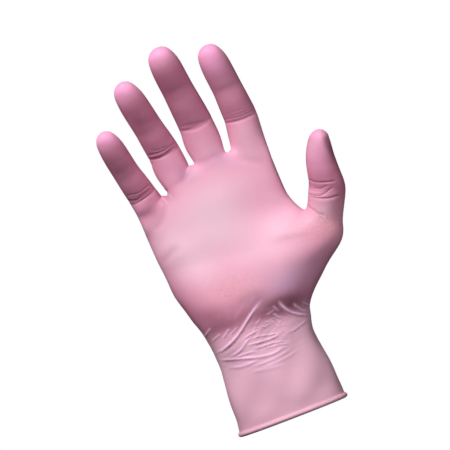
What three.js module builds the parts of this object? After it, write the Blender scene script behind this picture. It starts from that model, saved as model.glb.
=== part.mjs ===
// A nitrile exam glove in the shape that it takes in use: one thin dipped film, open at the
// cuff and hollow to the fingertips.
//
// Millimetres. +Z runs from the rim of the cuff to the fingertips, the palm faces -Y, the
// glove's back faces +Y and the thumb is on the +X side. The origin is the middle of the wrist
// opening, on the plane of the rim.
//
// The film is a coarse net of rings. They run up the cuff and the palm, part at the thumb's web
// and at the finger webs, and close at each tip. The net is fitted so that its subdivided
// surface passes through the sections below. The inner face is that surface moved in by the
// thickness of the film.
import * as THREE from "three";

const { clamp, lerp, smoothstep, degToRad } = THREE.MathUtils;

// Film and rolled rim
const FILM = 1.0;
const BEAD_RISE = 1.3;
const BEAD_HEIGHT = 3.2;

// Cuff and wrist: lengths along Z, widths along X, depths along Y
const CUFF_LENGTH = 62;
const CUFF_WIDTH = 70;
const CUFF_DEPTH = 54;
const WRIST_WIDTH = 65;
const WRIST_DEPTH = 45;

// Palm, from the wrist's crease to the web beside the middle finger
const PALM_LENGTH = 107;
const PALM_WIDTH = 90;
const PALM_DEPTH = 28;
const THUMB_SPREAD = 77;
const THUMB_FORWARD = 12;
const THUMB_TILT = 7;
const WEB_GAP = 3.4;

// Digits, from the web to the tip, and over the middle joint
const LITTLE_LENGTH = 64;
const LITTLE_WIDTH = 18.3;
const RING_LENGTH = 80;
const RING_WIDTH = 20.2;
const MIDDLE_LENGTH = 84.5;
const MIDDLE_WIDTH = 21.6;
const INDEX_LENGTH = 77;
const INDEX_WIDTH = 20.6;
const THUMB_LENGTH = 54;
const THUMB_WIDTH = 23.5;
const DIGIT_ROUNDNESS = 0.92;
const THUMB_ROUNDNESS = 0.84;

// Folds at the wrist
const FOLD_RISE = 1.3;
const FOLD_WIDTH = 4.6;

// Net
const FRONT_COLUMNS = 2;
const COLUMN_SPREAD = 0.29;
const OVAL = 2.3;
const FIT_PASSES = 14;

// The cuff up to the wrist's crease. `up` is a share of the cuff's length.
const CUFF_SECTIONS = [
  { up: 0.0, half: 0.5 * CUFF_WIDTH, deep: 0.5 * CUFF_DEPTH },
  { up: 0.3, half: 0.485 * CUFF_WIDTH, deep: 0.49 * CUFF_DEPTH },
  { up: 0.7, half: 0.486 * WRIST_WIDTH, deep: 0.52 * WRIST_DEPTH },
  { up: 0.88, half: 0.498 * WRIST_WIDTH, deep: 0.5 * WRIST_DEPTH },
];

// The palm's part, above the wrist's crease. `up` is a share of the palm's length, `little` and `index`
// are the outline's two sides as shares of the palm's width, `thumb` is the side with the thumb
// as a share of its spread, and `palm` and `back` are shares of the palm's depth.
const PALM_SECTIONS = [
  { up: 0.0, little: 0.37, index: 0.384, thumb: 0.449, palm: 0.77, back: 0.76 },
  { up: 0.075, little: 0.388, index: 0.456, thumb: 0.534, palm: 0.75, back: 0.7 },
  { up: 0.145, little: 0.416, index: 0.549, thumb: 0.642, palm: 0.71, back: 0.64 },
  { up: 0.218, little: 0.439, index: 0.6, thumb: 0.758, palm: 0.67, back: 0.59 },
  { up: 0.29, little: 0.465, index: 0.6, thumb: 0.885, palm: 0.64, back: 0.56 },
  { up: 0.364, little: 0.476, index: 0.6, thumb: 0.925, palm: 0.6, back: 0.54 },
  { up: 0.435, little: 0.481, index: 0.6, thumb: 0.961, palm: 0.57, back: 0.52 },
  { up: 0.505, little: 0.49, index: 0.6, thumb: 1.0, palm: 0.55, back: 0.51 },
  { up: 0.54, little: 0.494, index: 0.578, thumb: 1.0, palm: 0.54, back: 0.505 },
  { up: 0.58, little: 0.497, index: 0.533, thumb: 1.0, palm: 0.53, back: 0.5 },
  { up: 0.654, little: 0.502, index: 0.508, thumb: 1.0, palm: 0.51, back: 0.5 },
  { up: 0.73, little: 0.505, index: 0.502, thumb: 1.0, palm: 0.5, back: 0.495 },
  { up: 0.794, little: 0.508, index: 0.499, thumb: 1.0, palm: 0.48, back: 0.47 },
  { up: 0.869, little: 0.516, index: 0.498, thumb: 1.0, palm: 0.44, back: 0.415 },
  { up: 1.0, little: 0.54, index: 0.5, thumb: 1.0, palm: 0.37, back: 0.29 },
];

// Swellings and hollows. `face` is -1 on the palm and 1 on the back, `across` and `wide` are
// shares of half the palm's width, `up` and `tall` of its length, and `rise` of its depth.
const MOUNDS = [
  { what: "thumb's ball", face: -1, across: 0.75, up: 0.27, wide: 0.5, tall: 0.22, rise: 0.26 },
  { what: "outer heel", face: -1, across: -0.6, up: 0.2, wide: 0.4, tall: 0.26, rise: 0.14 },
  { what: "palm's hollow", face: -1, across: 0.05, up: 0.5, wide: 0.4, tall: 0.2, rise: -0.14 },
  { what: "first web, palm side", face: -1, across: 1.1, up: 0.5, wide: 0.16, tall: 0.1, rise: -0.14 },
  { what: "first web, back", face: 1, across: 1.1, up: 0.48, wide: 0.2, tall: 0.12, rise: -0.18 },
  { what: "little finger's root", face: -1, across: -0.75, up: 0.84, wide: 0.3, tall: 0.1, rise: -0.08 },
  { what: "little finger's knuckle", face: 1, across: -0.8, up: 0.8, wide: 0.3, tall: 0.14, rise: -0.1 },
];

// Folds of the film at the wrist, on the palm's side: ridges through these points. `across` is a
// share of half the wrist's width, `up` of the cuff's length and `rise` of the folds' rise.
const FOLDS = [
  [
    { across: 0.24, up: 1.215, rise: 0.2 },
    { across: -0.16, up: 1.07, rise: 1 },
    { across: -0.56, up: 0.925, rise: 1 },
    { across: -1.0, up: 0.88, rise: 0.5 },
  ],
  [
    { across: -0.97, up: 0.81, rise: 0.5 },
    { across: -0.48, up: 0.745, rise: 1 },
    { across: -0.13, up: 0.695, rise: 0.9 },
    { across: 0.44, up: 0.69, rise: 0.2 },
  ],
  [
    { across: 0.52, up: 1.15, rise: 0.2 },
    { across: 0.61, up: 1.03, rise: 1 },
    { across: 0.78, up: 0.945, rise: 1 },
    { across: 1.0, up: 0.895, rise: 0.5 },
  ],
  [
    { across: -0.33, up: 0.845, rise: 0.4 },
    { across: 0.02, up: 0.835, rise: 0.8 },
    { across: 0.37, up: 0.83, rise: 0.3 },
  ],
];

// The digits. `across` is the root's middle as a share of half the palm's width and `up` the
// height of the web on its thumb side as a share of the palm's length. `lean` and `bend` turn
// each phalanx, in degrees, to the thumb's side and to the palm. `joints` are the shares of the
// length at which the first phalanges end.
const FINGERS = [
  {
    name: "little", length: LITTLE_LENGTH, width: LITTLE_WIDTH, across: -0.79, up: 0.888,
    lean: [-13, -14, -10.5], bend: [8, 24, 28], joints: [0.2, 0.51],
  },
  {
    name: "ring", length: RING_LENGTH, width: RING_WIDTH, across: -0.33, up: 0.996,
    lean: [-3.6, -11.3, -11.8], bend: [6, 24, 26], joints: [0.3075, 0.57],
  },
  {
    name: "middle", length: MIDDLE_LENGTH, width: MIDDLE_WIDTH, across: 0.19, up: 0.996,
    lean: [-0.5, -7, -7], bend: [6, 24, 26], joints: [0.33, 0.63],
  },
  {
    name: "index", length: INDEX_LENGTH, width: INDEX_WIDTH, across: 0.742, up: 0.533,
    lean: [6, -4.5, -7], bend: [5, 20, 22], joints: [0.323, 0.602],
  },
];
const THUMB = {
  name: "thumb", length: THUMB_LENGTH, width: THUMB_WIDTH, across: 1.41, up: 0.475,
  lean: [25, 6, 18], bend: [14, 14, 18], joints: [0.32, 0.62], twist: 36,
};

// Rings of a finger and of the thumb. `joint` counts along the digit from its root, at 0, over
// its two joints, at 1 and 2, to its tip, at 3. `pinch` draws the palm's side in at a crease.
const FINGER_RINGS = [
  { joint: 0.48, width: 1.05, depth: 1.04, pinch: 0 },
  { joint: 0.84, width: 1.02, depth: 1.0, pinch: 0 },
  { joint: 1.0, width: 1.0, depth: 0.98, pinch: 0.05 },
  { joint: 1.18, width: 0.99, depth: 0.96, pinch: 0 },
  { joint: 1.6, width: 0.95, depth: 0.92, pinch: 0 },
  { joint: 2.0, width: 0.91, depth: 0.86, pinch: 0.03 },
  { joint: 2.4, width: 0.9, depth: 0.84, pinch: -0.03 },
  { joint: 2.7, width: 0.82, depth: 0.74, pinch: -0.03 },
  { joint: 2.91, width: 0.57, depth: 0.52, pinch: 0 },
];
const THUMB_RINGS = [
  { joint: 0.6, width: 0.98, depth: 1.0, pinch: 0 },
  { joint: 1.0, width: 1.0, depth: 1.0, pinch: 0.06 },
  { joint: 1.4, width: 0.92, depth: 0.93, pinch: 0 },
  { joint: 2.0, width: 0.84, depth: 0.82, pinch: -0.02 },
  { joint: 2.5, width: 0.72, depth: 0.7, pinch: -0.02 },
  { joint: 2.85, width: 0.46, depth: 0.47, pinch: 0 },
];

// Heights of the rings of the cuff, as shares of its length, and of the palm below the thumb's
// web, as shares of the palm's length. Those of the palm above it are shares of what is left.
const CUFF_RINGS = [0, 0.02, 0.06, 0.2, 0.36, 0.5, 0.62, 0.73, 0.83, 0.92];
const HEEL_RINGS = [0, 0.07, 0.145, 0.225, 0.31, 0.39, 0.46];
const PALM_RINGS = [0.22, 0.42, 0.62, 0.82, 1];

const WRIST_UP = CUFF_LENGTH;
const THUMB_WEB_UP = WRIST_UP + 0.533 * PALM_LENGTH;

/** A smooth curve through rows of a table: `key` as a function of `up`. */
function curve(rows, key) {
  return (up) => {
    const last = rows.length - 1;
    let i = 0;
    while (i < last - 1 && up > rows[i + 1].up) i++;
    const [a, b] = [rows[i], rows[i + 1]];
    const slope = (j) => {
      const [low, high] = [rows[Math.max(j - 1, 0)], rows[Math.min(j + 1, last)]];
      return (high[key] - low[key]) / (high.up - low.up);
    };
    const span = b.up - a.up;
    const t = clamp((up - a.up) / span, 0, 1);
    const h = t * t * (3 - 2 * t);
    const bow = t * (1 - t) * span;
    return lerp(a[key], b[key], h) + bow * ((1 - t) * slope(i) - t * slope(i + 1));
  };
}

const OUTLINE_ROWS = [
  ...CUFF_SECTIONS.map(({ up, half, deep }) => ({
    up: up * CUFF_LENGTH, little: -half, index: half, thumb: half, palm: deep, back: deep,
  })),
  ...PALM_SECTIONS.map(({ up, little, index, thumb, palm, back }) => ({
    up: WRIST_UP + up * PALM_LENGTH,
    little: -little * PALM_WIDTH,
    index: index * PALM_WIDTH,
    thumb: thumb * THUMB_SPREAD,
    palm: palm * PALM_DEPTH,
    back: back * PALM_DEPTH,
  })),
];
const outline = Object.fromEntries(
  ["little", "index", "thumb", "palm", "back"].map((key) => [key, curve(OUTLINE_ROWS, key)]),
);

/** The height that the swellings and hollows add at x and z, on the palm (-1) or the back (1). */
function mounds(face, x, z) {
  let rise = 0;
  for (const m of MOUNDS) {
    if (m.face !== face) continue;
    const across = (x / (PALM_WIDTH / 2) - m.across) / m.wide;
    const up = ((z - WRIST_UP) / PALM_LENGTH - m.up) / m.tall;
    rise += m.rise * PALM_DEPTH * Math.exp(-across * across - up * up);
  }
  return rise;
}

/** How far the folds at the wrist lift the film's palm side at x and z. */
function folds(x, z) {
  let rise = 0;
  for (const fold of FOLDS) {
    const points = fold.map(({ across, up }) =>
      new THREE.Vector3(across * (WRIST_WIDTH / 2), up * CUFF_LENGTH, 0),
    );
    for (let i = 1; i < points.length; i++) {
      const piece = new THREE.Line3(points[i - 1], points[i]);
      const here = new THREE.Vector3(x, z, 0);
      const t = piece.closestPointToPointParameter(here, true);
      const away = piece.at(t, new THREE.Vector3()).distanceTo(here) / (FOLD_WIDTH / 2);
      const height = lerp(fold[i - 1].rise, fold[i].rise, t);
      rise = Math.max(rise, FOLD_RISE * height * Math.exp(-away * away));
    }
  }
  return rise;
}

/** How far the film's middle moves to the palm's side where the thumb stands forward. */
function forward(x, z) {
  const over = smoothstep(x, 0.6 * (PALM_WIDTH / 2), 0.9 * THUMB_SPREAD);
  return -THUMB_FORWARD * over * smoothstep(z, WRIST_UP - 10, THUMB_WEB_UP);
}

/** A point of the cuff or the palm at x and z. `thumbSide` names the outline's right side. */
function filmPoint(face, x, z, thumbSide) {
  const [low, high] = [outline.little(z), outline[thumbSide](z)];
  const share = clamp((x - (low + high) / 2) / ((high - low) / 2), -1, 1);
  const deep = face < 0 ? outline.palm(z) : outline.back(z);
  const round = Math.pow(1 - Math.pow(Math.abs(share), OVAL), 1 / OVAL);
  const y = forward(x, z) + face * round * (deep + mounds(face, x, z));
  return new THREE.Vector3(x, face === 0 ? forward(x, z) : y, z);
}

/** A net of points and of four-cornered faces. The fit leaves its loose points where they are. */
class Net {
  points = [];
  faces = [];
  loose = new Set();

  add(point) {
    return this.points.push(point) - 1;
  }

  /** Faces between two rings of as many points, both anticlockwise seen from above. */
  join(lower, upper) {
    lower.forEach((corner, k) => {
      const next = (k + 1) % lower.length;
      this.faces.push([corner, lower[next], upper[next], upper[k]]);
    });
  }

  /** Closes a ring with faces round one middle point. */
  cap(ring, middle) {
    const centre = this.add(middle);
    for (let k = 0; k < ring.length; k += 2) {
      this.faces.push([centre, ring[k], ring[k + 1], ring[(k + 2) % ring.length]]);
    }
  }
}

/** The offsets of a digit's net columns from its middle, as shares of its width. */
function columnOffsets() {
  if (FRONT_COLUMNS === 1) return [0];
  return Array.from({ length: FRONT_COLUMNS }, (_, k) =>
    lerp(-COLUMN_SPREAD, COLUMN_SPREAD, k / (FRONT_COLUMNS - 1)),
  );
}

/** Where the digits' columns stand across the palm, from the little finger. */
function columnPlaces(digits) {
  return digits.flatMap(({ across, width }) =>
    columnOffsets().map((offset) => across * (PALM_WIDTH / 2) + offset * width),
  );
}

/** A ring of the cuff or the palm's heel: [little side, palm's face, thumb side, back]. */
function heelRing(net, z) {
  const places = columnPlaces([...FINGERS, THUMB]);
  const [low, high] = [outline.little(z), outline.thumb(z)];
  const [lowest, highest] = [outline.little(THUMB_WEB_UP), outline.thumb(THUMB_WEB_UP)];
  const settled = smoothstep(z, 0.6 * CUFF_LENGTH, THUMB_WEB_UP - 0.1 * PALM_LENGTH);
  const across = places.map((x, k) => {
    const even = -Math.cos((Math.PI * (k + 1)) / (places.length + 1));
    const placed = (2 * x - lowest - highest) / (highest - lowest);
    return lerp(low, high, (1 + lerp(even, placed, settled)) / 2);
  });
  // On the thumb's side the rings turn to stand across it.
  const tilt = THUMB_TILT * smoothstep(z, WRIST_UP, THUMB_WEB_UP);
  const point = (side, x) => {
    const own = z - tilt * smoothstep(x, 0.7 * (PALM_WIDTH / 2), THUMB_SPREAD);
    return net.add(filmPoint(side, x, own, "thumb"));
  };
  const face = (side) => across.map((x) => point(side, x));
  const outer = z - tilt;
  return [
    point(0, low),
    ...face(-1),
    net.add(filmPoint(0, outline.thumb(outer), outer, "thumb")),
    ...face(1).reverse(),
  ];
}

/** Height of the palm's last ring: below the webs, and lower still on the back. */
function knuckleUp(face, x) {
  const rows = [
    { up: -PALM_WIDTH / 2, share: 0.8 },
    ...FINGERS.slice(0, 3).map(({ across, up }, k) => ({
      up: ((across + FINGERS[k + 1].across) * PALM_WIDTH) / 4, share: up - 0.05,
    })),
    { up: PALM_WIDTH / 2, share: 0.9 },
  ];
  const drop = face > 0 ? 0.085 : 0;
  return WRIST_UP + (curve(rows, "share")(x) - drop) * PALM_LENGTH;
}

/** A ring of the palm above the thumb's web; `rise` goes from 0 at the web to 1. */
function palmRing(net, rise, startUp) {
  const places = columnPlaces(FINGERS);
  const point = (face, x) => {
    const z = lerp(startUp, knuckleUp(face, x), rise);
    return net.add(filmPoint(face, x, z, "index"));
  };
  const side = (key, x, start) => {
    const z = lerp(start, knuckleUp(0, x), rise);
    return net.add(filmPoint(0, outline[key](z), z, "index"));
  };
  return [
    side("little", -PALM_WIDTH / 2, startUp),
    ...places.map((x) => point(-1, x)),
    side("index", PALM_WIDTH / 2, THUMB_WEB_UP),
    ...places.map((x) => point(1, x)).reverse(),
  ];
}

/** Joins two digits' sides over the web between them and returns the web's two points. */
function addWeb(net, web, palmEdge, backEdge) {
  const half = new THREE.Vector3(WEB_GAP / 2, 0, 0);
  const [left, right] = [net.add(web.clone().sub(half)), net.add(web.clone().add(half))];
  net.faces.push([palmEdge[0], palmEdge[1], right, left]);
  net.faces.push([backEdge[1], backEdge[0], left, right]);
  return [left, right];
}

/** Value at `joint` of a list that holds one value per phalanx, turning smoothly at joints. */
function phalanxValue(values, joint) {
  const ease = 0.28;
  return values.slice(1).reduce(
    (value, next, k) => value + (next - values[k]) * smoothstep(joint, k + 1 - ease, k + 1 + ease),
    values[0],
  );
}

/** A digit's rings and tip on the ring that its root stands on. */
function addDigit(net, digit, root, start, rings, roundness) {
  const knots = [0, ...digit.joints, 1];
  const along = (joint) => {
    const k = Math.min(Math.floor(joint), 2);
    return digit.length * lerp(knots[k], knots[k + 1], joint - k);
  };
  const heading = (joint) => {
    const [lean, bend] = [digit.lean, digit.bend].map((list) => degToRad(phalanxValue(list, joint)));
    return new THREE.Vector3(
      Math.sin(lean) * Math.cos(bend), -Math.sin(bend), Math.cos(lean) * Math.cos(bend),
    );
  };
  const place = start.clone();
  let [at, below] = [0, root];
  const walk = (joint) => {
    const steps = 12;
    for (let i = 0; i < steps; i++) {
      const [from, to] = [lerp(at, joint, i / steps), lerp(at, joint, (i + 1) / steps)];
      place.addScaledVector(heading((from + to) / 2), along(to) - along(from));
    }
    at = joint;
  };
  for (const row of rings) {
    walk(row.joint);
    const ahead = heading(row.joint);
    const twist = degToRad(digit.twist ?? 0) * smoothstep(row.joint, 0, 1.3);
    const across = new THREE.Vector3(1, 0, 0).addScaledVector(ahead, -ahead.x).normalize();
    across.applyAxisAngle(ahead, -twist);
    const back = ahead.clone().cross(across);
    const count = root.length;
    const ring = root.map((_, k) => {
      const angle = Math.PI + (2 * Math.PI * k) / count;
      const [c, s] = [Math.cos(angle), Math.sin(angle)];
      const pinch = s < -0.1 ? 1 - row.pinch : 1;
      const point = place.clone();
      point.addScaledVector(across, 0.5 * digit.width * row.width * c);
      point.addScaledVector(back, 0.5 * digit.width * roundness * row.depth * s * pinch);
      return net.add(point);
    });
    net.join(below, ring);
    below = ring;
  }
  walk(3);
  net.cap(below, place.clone());
}

/** The net of the whole glove. */
function gloveNet() {
  const net = new Net();
  const heights = [
    ...CUFF_RINGS.map((share) => share * CUFF_LENGTH),
    ...HEEL_RINGS.map((share) => WRIST_UP + share * PALM_LENGTH),
  ];
  let ring = null;
  for (const z of heights) {
    const next = heelRing(net, z);
    if (ring) net.join(ring, next);
    ring = next;
  }

  // The thumb leaves the palm: both keep their own part of the last ring and share a web.
  const four = FINGERS.length * FRONT_COLUMNS;
  const palm = ring.slice(1, 1 + four);
  const thumbPalm = ring.slice(1 + four, 1 + four + FRONT_COLUMNS);
  const outer = ring[1 + four + FRONT_COLUMNS];
  const thumbBack = ring.slice(2 + four + FRONT_COLUMNS, 2 + four + 2 * FRONT_COLUMNS);
  const back = ring.slice(2 + four + 2 * FRONT_COLUMNS);
  const startUp = heights.at(-1);
  const webX = outline.index(THUMB_WEB_UP);
  const thumbWeb = new THREE.Vector3(webX, forward(webX, THUMB_WEB_UP), THUMB_WEB_UP);
  const [palmSide, thumbSide] = addWeb(
    net, thumbWeb, [palm.at(-1), thumbPalm[0]], [back[0], thumbBack.at(-1)],
  );
  const thumbX = THUMB.across * (PALM_WIDTH / 2);
  const thumbStart = new THREE.Vector3(thumbX, forward(thumbX, startUp), startUp);
  const thumbRoot = [thumbSide, ...thumbPalm, outer, ...thumbBack];
  addDigit(net, THUMB, thumbRoot, thumbStart, THUMB_RINGS, THUMB_ROUNDNESS);

  let below = [ring[0], ...palm, palmSide, ...back];
  for (const rise of PALM_RINGS) {
    const next = palmRing(net, rise, startUp);
    net.join(below, next);
    below = next;
  }

  // The fingers part at their webs.
  const palmEdge = below.slice(1, 1 + four);
  const backEdge = below.slice(2 + four).reverse();
  [...palmEdge, ...backEdge, ...thumbPalm, ...thumbBack].forEach((v) => net.loose.add(v));
  const sides = [below[0]];
  FINGERS.slice(0, 3).forEach((finger, k) => {
    const edge = [(k + 1) * FRONT_COLUMNS - 1, (k + 1) * FRONT_COLUMNS];
    const x = ((finger.across + FINGERS[k + 1].across) * PALM_WIDTH) / 4;
    const web = new THREE.Vector3(x, -0.1 * PALM_DEPTH, WRIST_UP + finger.up * PALM_LENGTH);
    sides.push(...addWeb(net, web, edge.map((i) => palmEdge[i]), edge.map((i) => backEdge[i])));
  });
  sides.push(below[1 + four]);
  FINGERS.forEach((finger, k) => {
    const own = (edge) => edge.slice(k * FRONT_COLUMNS, (k + 1) * FRONT_COLUMNS);
    const root = [sides[2 * k], ...own(palmEdge), sides[2 * k + 1], ...own(backEdge).reverse()];
    const x = finger.across * (PALM_WIDTH / 2);
    const start = new THREE.Vector3(x, 0, knuckleUp(0, x));
    addDigit(net, finger, root, start, FINGER_RINGS, DIGIT_ROUNDNESS);
  });
  return net;
}

/** The edges of a net: each with its two ends, its faces and the number of its middle point. */
function edgesOf(net) {
  const edges = new Map();
  net.faces.forEach((face, f) => {
    face.forEach((a, k) => {
      const b = face[(k + 1) % face.length];
      const key = a < b ? `${a} ${b}` : `${b} ${a}`;
      if (!edges.has(key)) edges.set(key, { ends: [a, b], faces: [] });
      edges.get(key).faces.push(f);
    });
  });
  return edges;
}

const mean = (points) =>
  points.reduce((sum, p) => sum.add(p), new THREE.Vector3()).divideScalar(points.length);

/** Where a Catmull-Clark step puts the net's own points. */
function smoothedPoints(net, edges, centres) {
  const rings = net.points.map(() => ({ centres: [], ends: [], rim: [] }));
  net.faces.forEach((face, f) => face.forEach((v) => rings[v].centres.push(centres[f])));
  for (const { ends, faces } of edges.values()) {
    ends.forEach((v, k) => {
      const other = net.points[ends[1 - k]];
      rings[v].ends.push(other);
      if (faces.length === 1) rings[v].rim.push(other);
    });
  }
  return net.points.map((point, v) => {
    const { centres: around, ends, rim } = rings[v];
    if (rim.length) return point.clone().multiplyScalar(3).add(mean(rim)).divideScalar(4);
    const n = ends.length;
    const moved = mean(around).add(mean(ends)).divideScalar(n);
    return moved.addScaledVector(point, (n - 2) / n);
  });
}

/** Moves the net's points so that one Catmull-Clark step puts them where they stand now. */
function fit(net) {
  const wanted = net.points.map((p) => p.clone());
  const edges = edgesOf(net);
  for (let pass = 0; pass < FIT_PASSES; pass++) {
    const centres = net.faces.map((face) => mean(face.map((v) => net.points[v])));
    smoothedPoints(net, edges, centres).forEach((p, v) => {
      if (!net.loose.has(v)) net.points[v].add(wanted[v]).sub(p);
    });
  }
}

/** One Catmull-Clark step. */
function subdivide(net) {
  const edges = edgesOf(net);
  const centres = net.faces.map((face) => mean(face.map((v) => net.points[v])));
  const fine = new Net();
  fine.points = smoothedPoints(net, edges, centres);
  const centreOf = centres.map((p) => fine.add(p));
  for (const edge of edges.values()) {
    const around = edge.faces.length === 2 ? edge.faces.map((f) => centres[f]) : [];
    edge.middle = fine.add(mean([...edge.ends.map((v) => net.points[v]), ...around]));
  }
  net.faces.forEach((face, f) => {
    const middles = face.map((a, k) => {
      const b = face[(k + 1) % face.length];
      return edges.get(a < b ? `${a} ${b}` : `${b} ${a}`).middle;
    });
    face.forEach((v, k) => {
      fine.faces.push([v, middles[k], centreOf[f], middles[(k + face.length - 1) % face.length]]);
    });
  });
  return fine;
}

/** Outward unit normals at the net's points. */
function normalsOf(net) {
  const normals = net.points.map(() => new THREE.Vector3());
  for (const face of net.faces) {
    const [a, b, c, d] = face.map((v) => net.points[v]);
    const normal = c.clone().sub(a).cross(d.clone().sub(b));
    face.forEach((v) => normals[v].add(normal));
  }
  return normals.map((n) => n.normalize());
}

/** The film as one closed body: the outer face, the inner face and the rim between them. */
function filmGeometry(net) {
  const normals = normalsOf(net);
  const count = net.points.length;
  const middle = net.points.map((p, v) => {
    const rise = normals[v].y < -0.2 ? folds(p.x, p.z) : 0;
    return p.clone().addScaledVector(normals[v], rise);
  });
  const outer = middle.map((p, v) => {
    const rolled = Math.sin(Math.PI * clamp(p.z / BEAD_HEIGHT, 0, 1));
    return p.clone().addScaledVector(normals[v].clone().setZ(0), BEAD_RISE * rolled);
  });
  const inner = middle.map((p, v) => p.clone().addScaledVector(normals[v], -FILM));
  const corners = [];
  for (const [a, b, c, d] of net.faces) {
    corners.push(a, b, c, a, c, d);
    corners.push(count + a, count + c, count + b, count + a, count + d, count + c);
  }
  for (const { ends: [a, b], faces } of edgesOf(net).values()) {
    if (faces.length > 1) continue;
    corners.push(b, a, count + a, b, count + a, count + b);
    for (const v of [a, b]) inner[v].z = outer[v].z;
  }
  const geometry = new THREE.BufferGeometry().setFromPoints([...outer, ...inner]);
  geometry.setIndex(corners);
  geometry.computeVertexNormals();
  return geometry;
}

const net = gloveNet();
fit(net);
const nitrile = new THREE.MeshStandardMaterial({ color: 0xdb86a6, roughness: 0.5, metalness: 0 });
const film = new THREE.Mesh(filmGeometry(subdivide(net)), nitrile);
film.name = "glove";

const glove = new THREE.Group();
glove.add(film);
export default glove;
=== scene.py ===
"""Looks of a nitrile exam glove in the shape that it takes in use.

Metres in the scene and millimetres in the tables. +Z runs from the rim of the cuff to the
fingertips, the palm faces -Y and the thumb is at +X. The film is a coarse net of rings, fitted so
that its subdivided surface passes through the sections in the tables, and it then gets its folds,
creases and rolled rim vertex by vertex.
"""

import logging
import math
from dataclasses import dataclass, field
from enum import Enum
from typing import Callable, NamedTuple, Sequence

import bpy
import numpy as np
from mathutils import Matrix, Vector, noise


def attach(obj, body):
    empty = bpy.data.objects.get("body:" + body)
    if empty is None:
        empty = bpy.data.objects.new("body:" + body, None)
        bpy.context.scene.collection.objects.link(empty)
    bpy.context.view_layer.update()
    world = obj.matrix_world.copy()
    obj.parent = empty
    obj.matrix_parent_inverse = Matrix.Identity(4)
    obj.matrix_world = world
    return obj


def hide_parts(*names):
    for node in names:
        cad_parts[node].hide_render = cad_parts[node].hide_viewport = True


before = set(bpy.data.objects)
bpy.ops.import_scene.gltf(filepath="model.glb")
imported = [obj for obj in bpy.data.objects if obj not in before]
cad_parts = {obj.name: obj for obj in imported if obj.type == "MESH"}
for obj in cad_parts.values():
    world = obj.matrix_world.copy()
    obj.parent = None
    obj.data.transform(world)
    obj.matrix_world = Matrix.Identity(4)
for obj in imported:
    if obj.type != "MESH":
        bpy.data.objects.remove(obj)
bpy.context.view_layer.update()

MM = 0.001
# A line on one side of the glove goes on round its edge until the normal turns this far away.
WRAP = -0.35
# A digit's joints count from 0 at its root to this at its tip.
TIP = 3.0
log = logging.getLogger("glove")


def lerp(start: float, end: float, share: float) -> float:
    """The value at a share of the way from start to end."""
    return start + (end - start) * share


def smoothstep(value: float | np.ndarray, low: float, high: float) -> float | np.ndarray:
    """A smooth step from 0 at low to 1 at high.

    Args:
        value: Where to read the step.
        low: Where the step starts.
        high: Where the step ends.

    Returns:
        The height of the step, from 0 to 1.
    """
    share = np.clip((value - low) / (high - low), 0.0, 1.0)
    return share * share * (3.0 - 2.0 * share)


# Tables


class Side(Enum):
    """The face of the glove that a line or a patch lies on: the sign of its normal along Y."""

    PALM = -1
    BACK = 1


class Tint(Enum):
    """A colour that the film takes in places, by the name of its attribute on the mesh: some are
    the film's own tone and specks, and some are painted light and painted shade.
    """

    # Paler stretched film, and painted light where shaded spots of the palm and the thumb are
    # lifted.
    PALE_AND_PAINTED_LIGHT = "pale"
    # Painted light: the brighter pink of the fingertips' lit tops, and a shaded spot lifted.
    PAINTED_LIGHT_ROSE = "painted_light_rose"
    PEACH = "peach"
    LILAC = "lilac"
    # Painted shade: mauve on bent phalanges, webs, wrist and edges; its colour also gives the
    # specks.
    PAINTED_SHADE_AND_SPECKS = "deep"
    # Painted shade, darker: the shaded hollows of the wrist, the webs and the edges.
    PAINTED_DARK_SHADE = "painted_dark_shade"
    THIN = "thin"


class CuffRow(NamedTuple):
    """A section of the cuff: `up` is a share of its length, the others are millimetres."""

    up: float
    half: float
    deep: float


class PalmRow(NamedTuple):
    """A section of the palm: shares of its length, its width, the thumb's spread and its depth."""

    up: float
    little: float
    index: float
    thumb: float
    palm: float
    back: float


class Mound(NamedTuple):
    """A swelling or a hollow: shares of half the palm's width, of its length and its depth."""

    side: Side
    across: float
    up: float
    wide: float
    tall: float
    rise: float


class Ring(NamedTuple):
    """A ring of a digit: `joint` runs from 0 at its root over its joints to 3 at its tip."""

    joint: float
    width: float
    depth: float
    pinch: float


class Digit(NamedTuple):
    """A digit: its sizes, its place on the palm, and the turns of its three phalanges."""

    name: str
    length: float
    width: float
    across: float
    up: float
    lean: tuple[float, float, float]
    bend: tuple[float, float, float]
    joints: tuple[float, float]
    twist: float = 0.0


class Line(NamedTuple):
    """A ridge of the film, or a groove below 0: its rise, half its width and its points (x, z)."""

    side: Side
    rise: float
    half: float
    points: tuple[tuple[float, float], ...]

    @property
    def is_crease(self) -> bool:
        """Whether this is a groove less than 2 mm wide."""
        return self.rise < 0 and self.half < 1


class Wave(NamedTuple):
    """A slow wave of the loose film: its height, how many go round, its slant and its start."""

    height: float
    turns: float
    slant: float
    start: float


class Patch(NamedTuple):
    """A patch of another tint round (x, z), with its radii, its turn in degrees and amount."""

    side: Side
    tint: Tint
    x: float
    z: float
    wide: float
    tall: float
    turn: float
    amount: float


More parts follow.
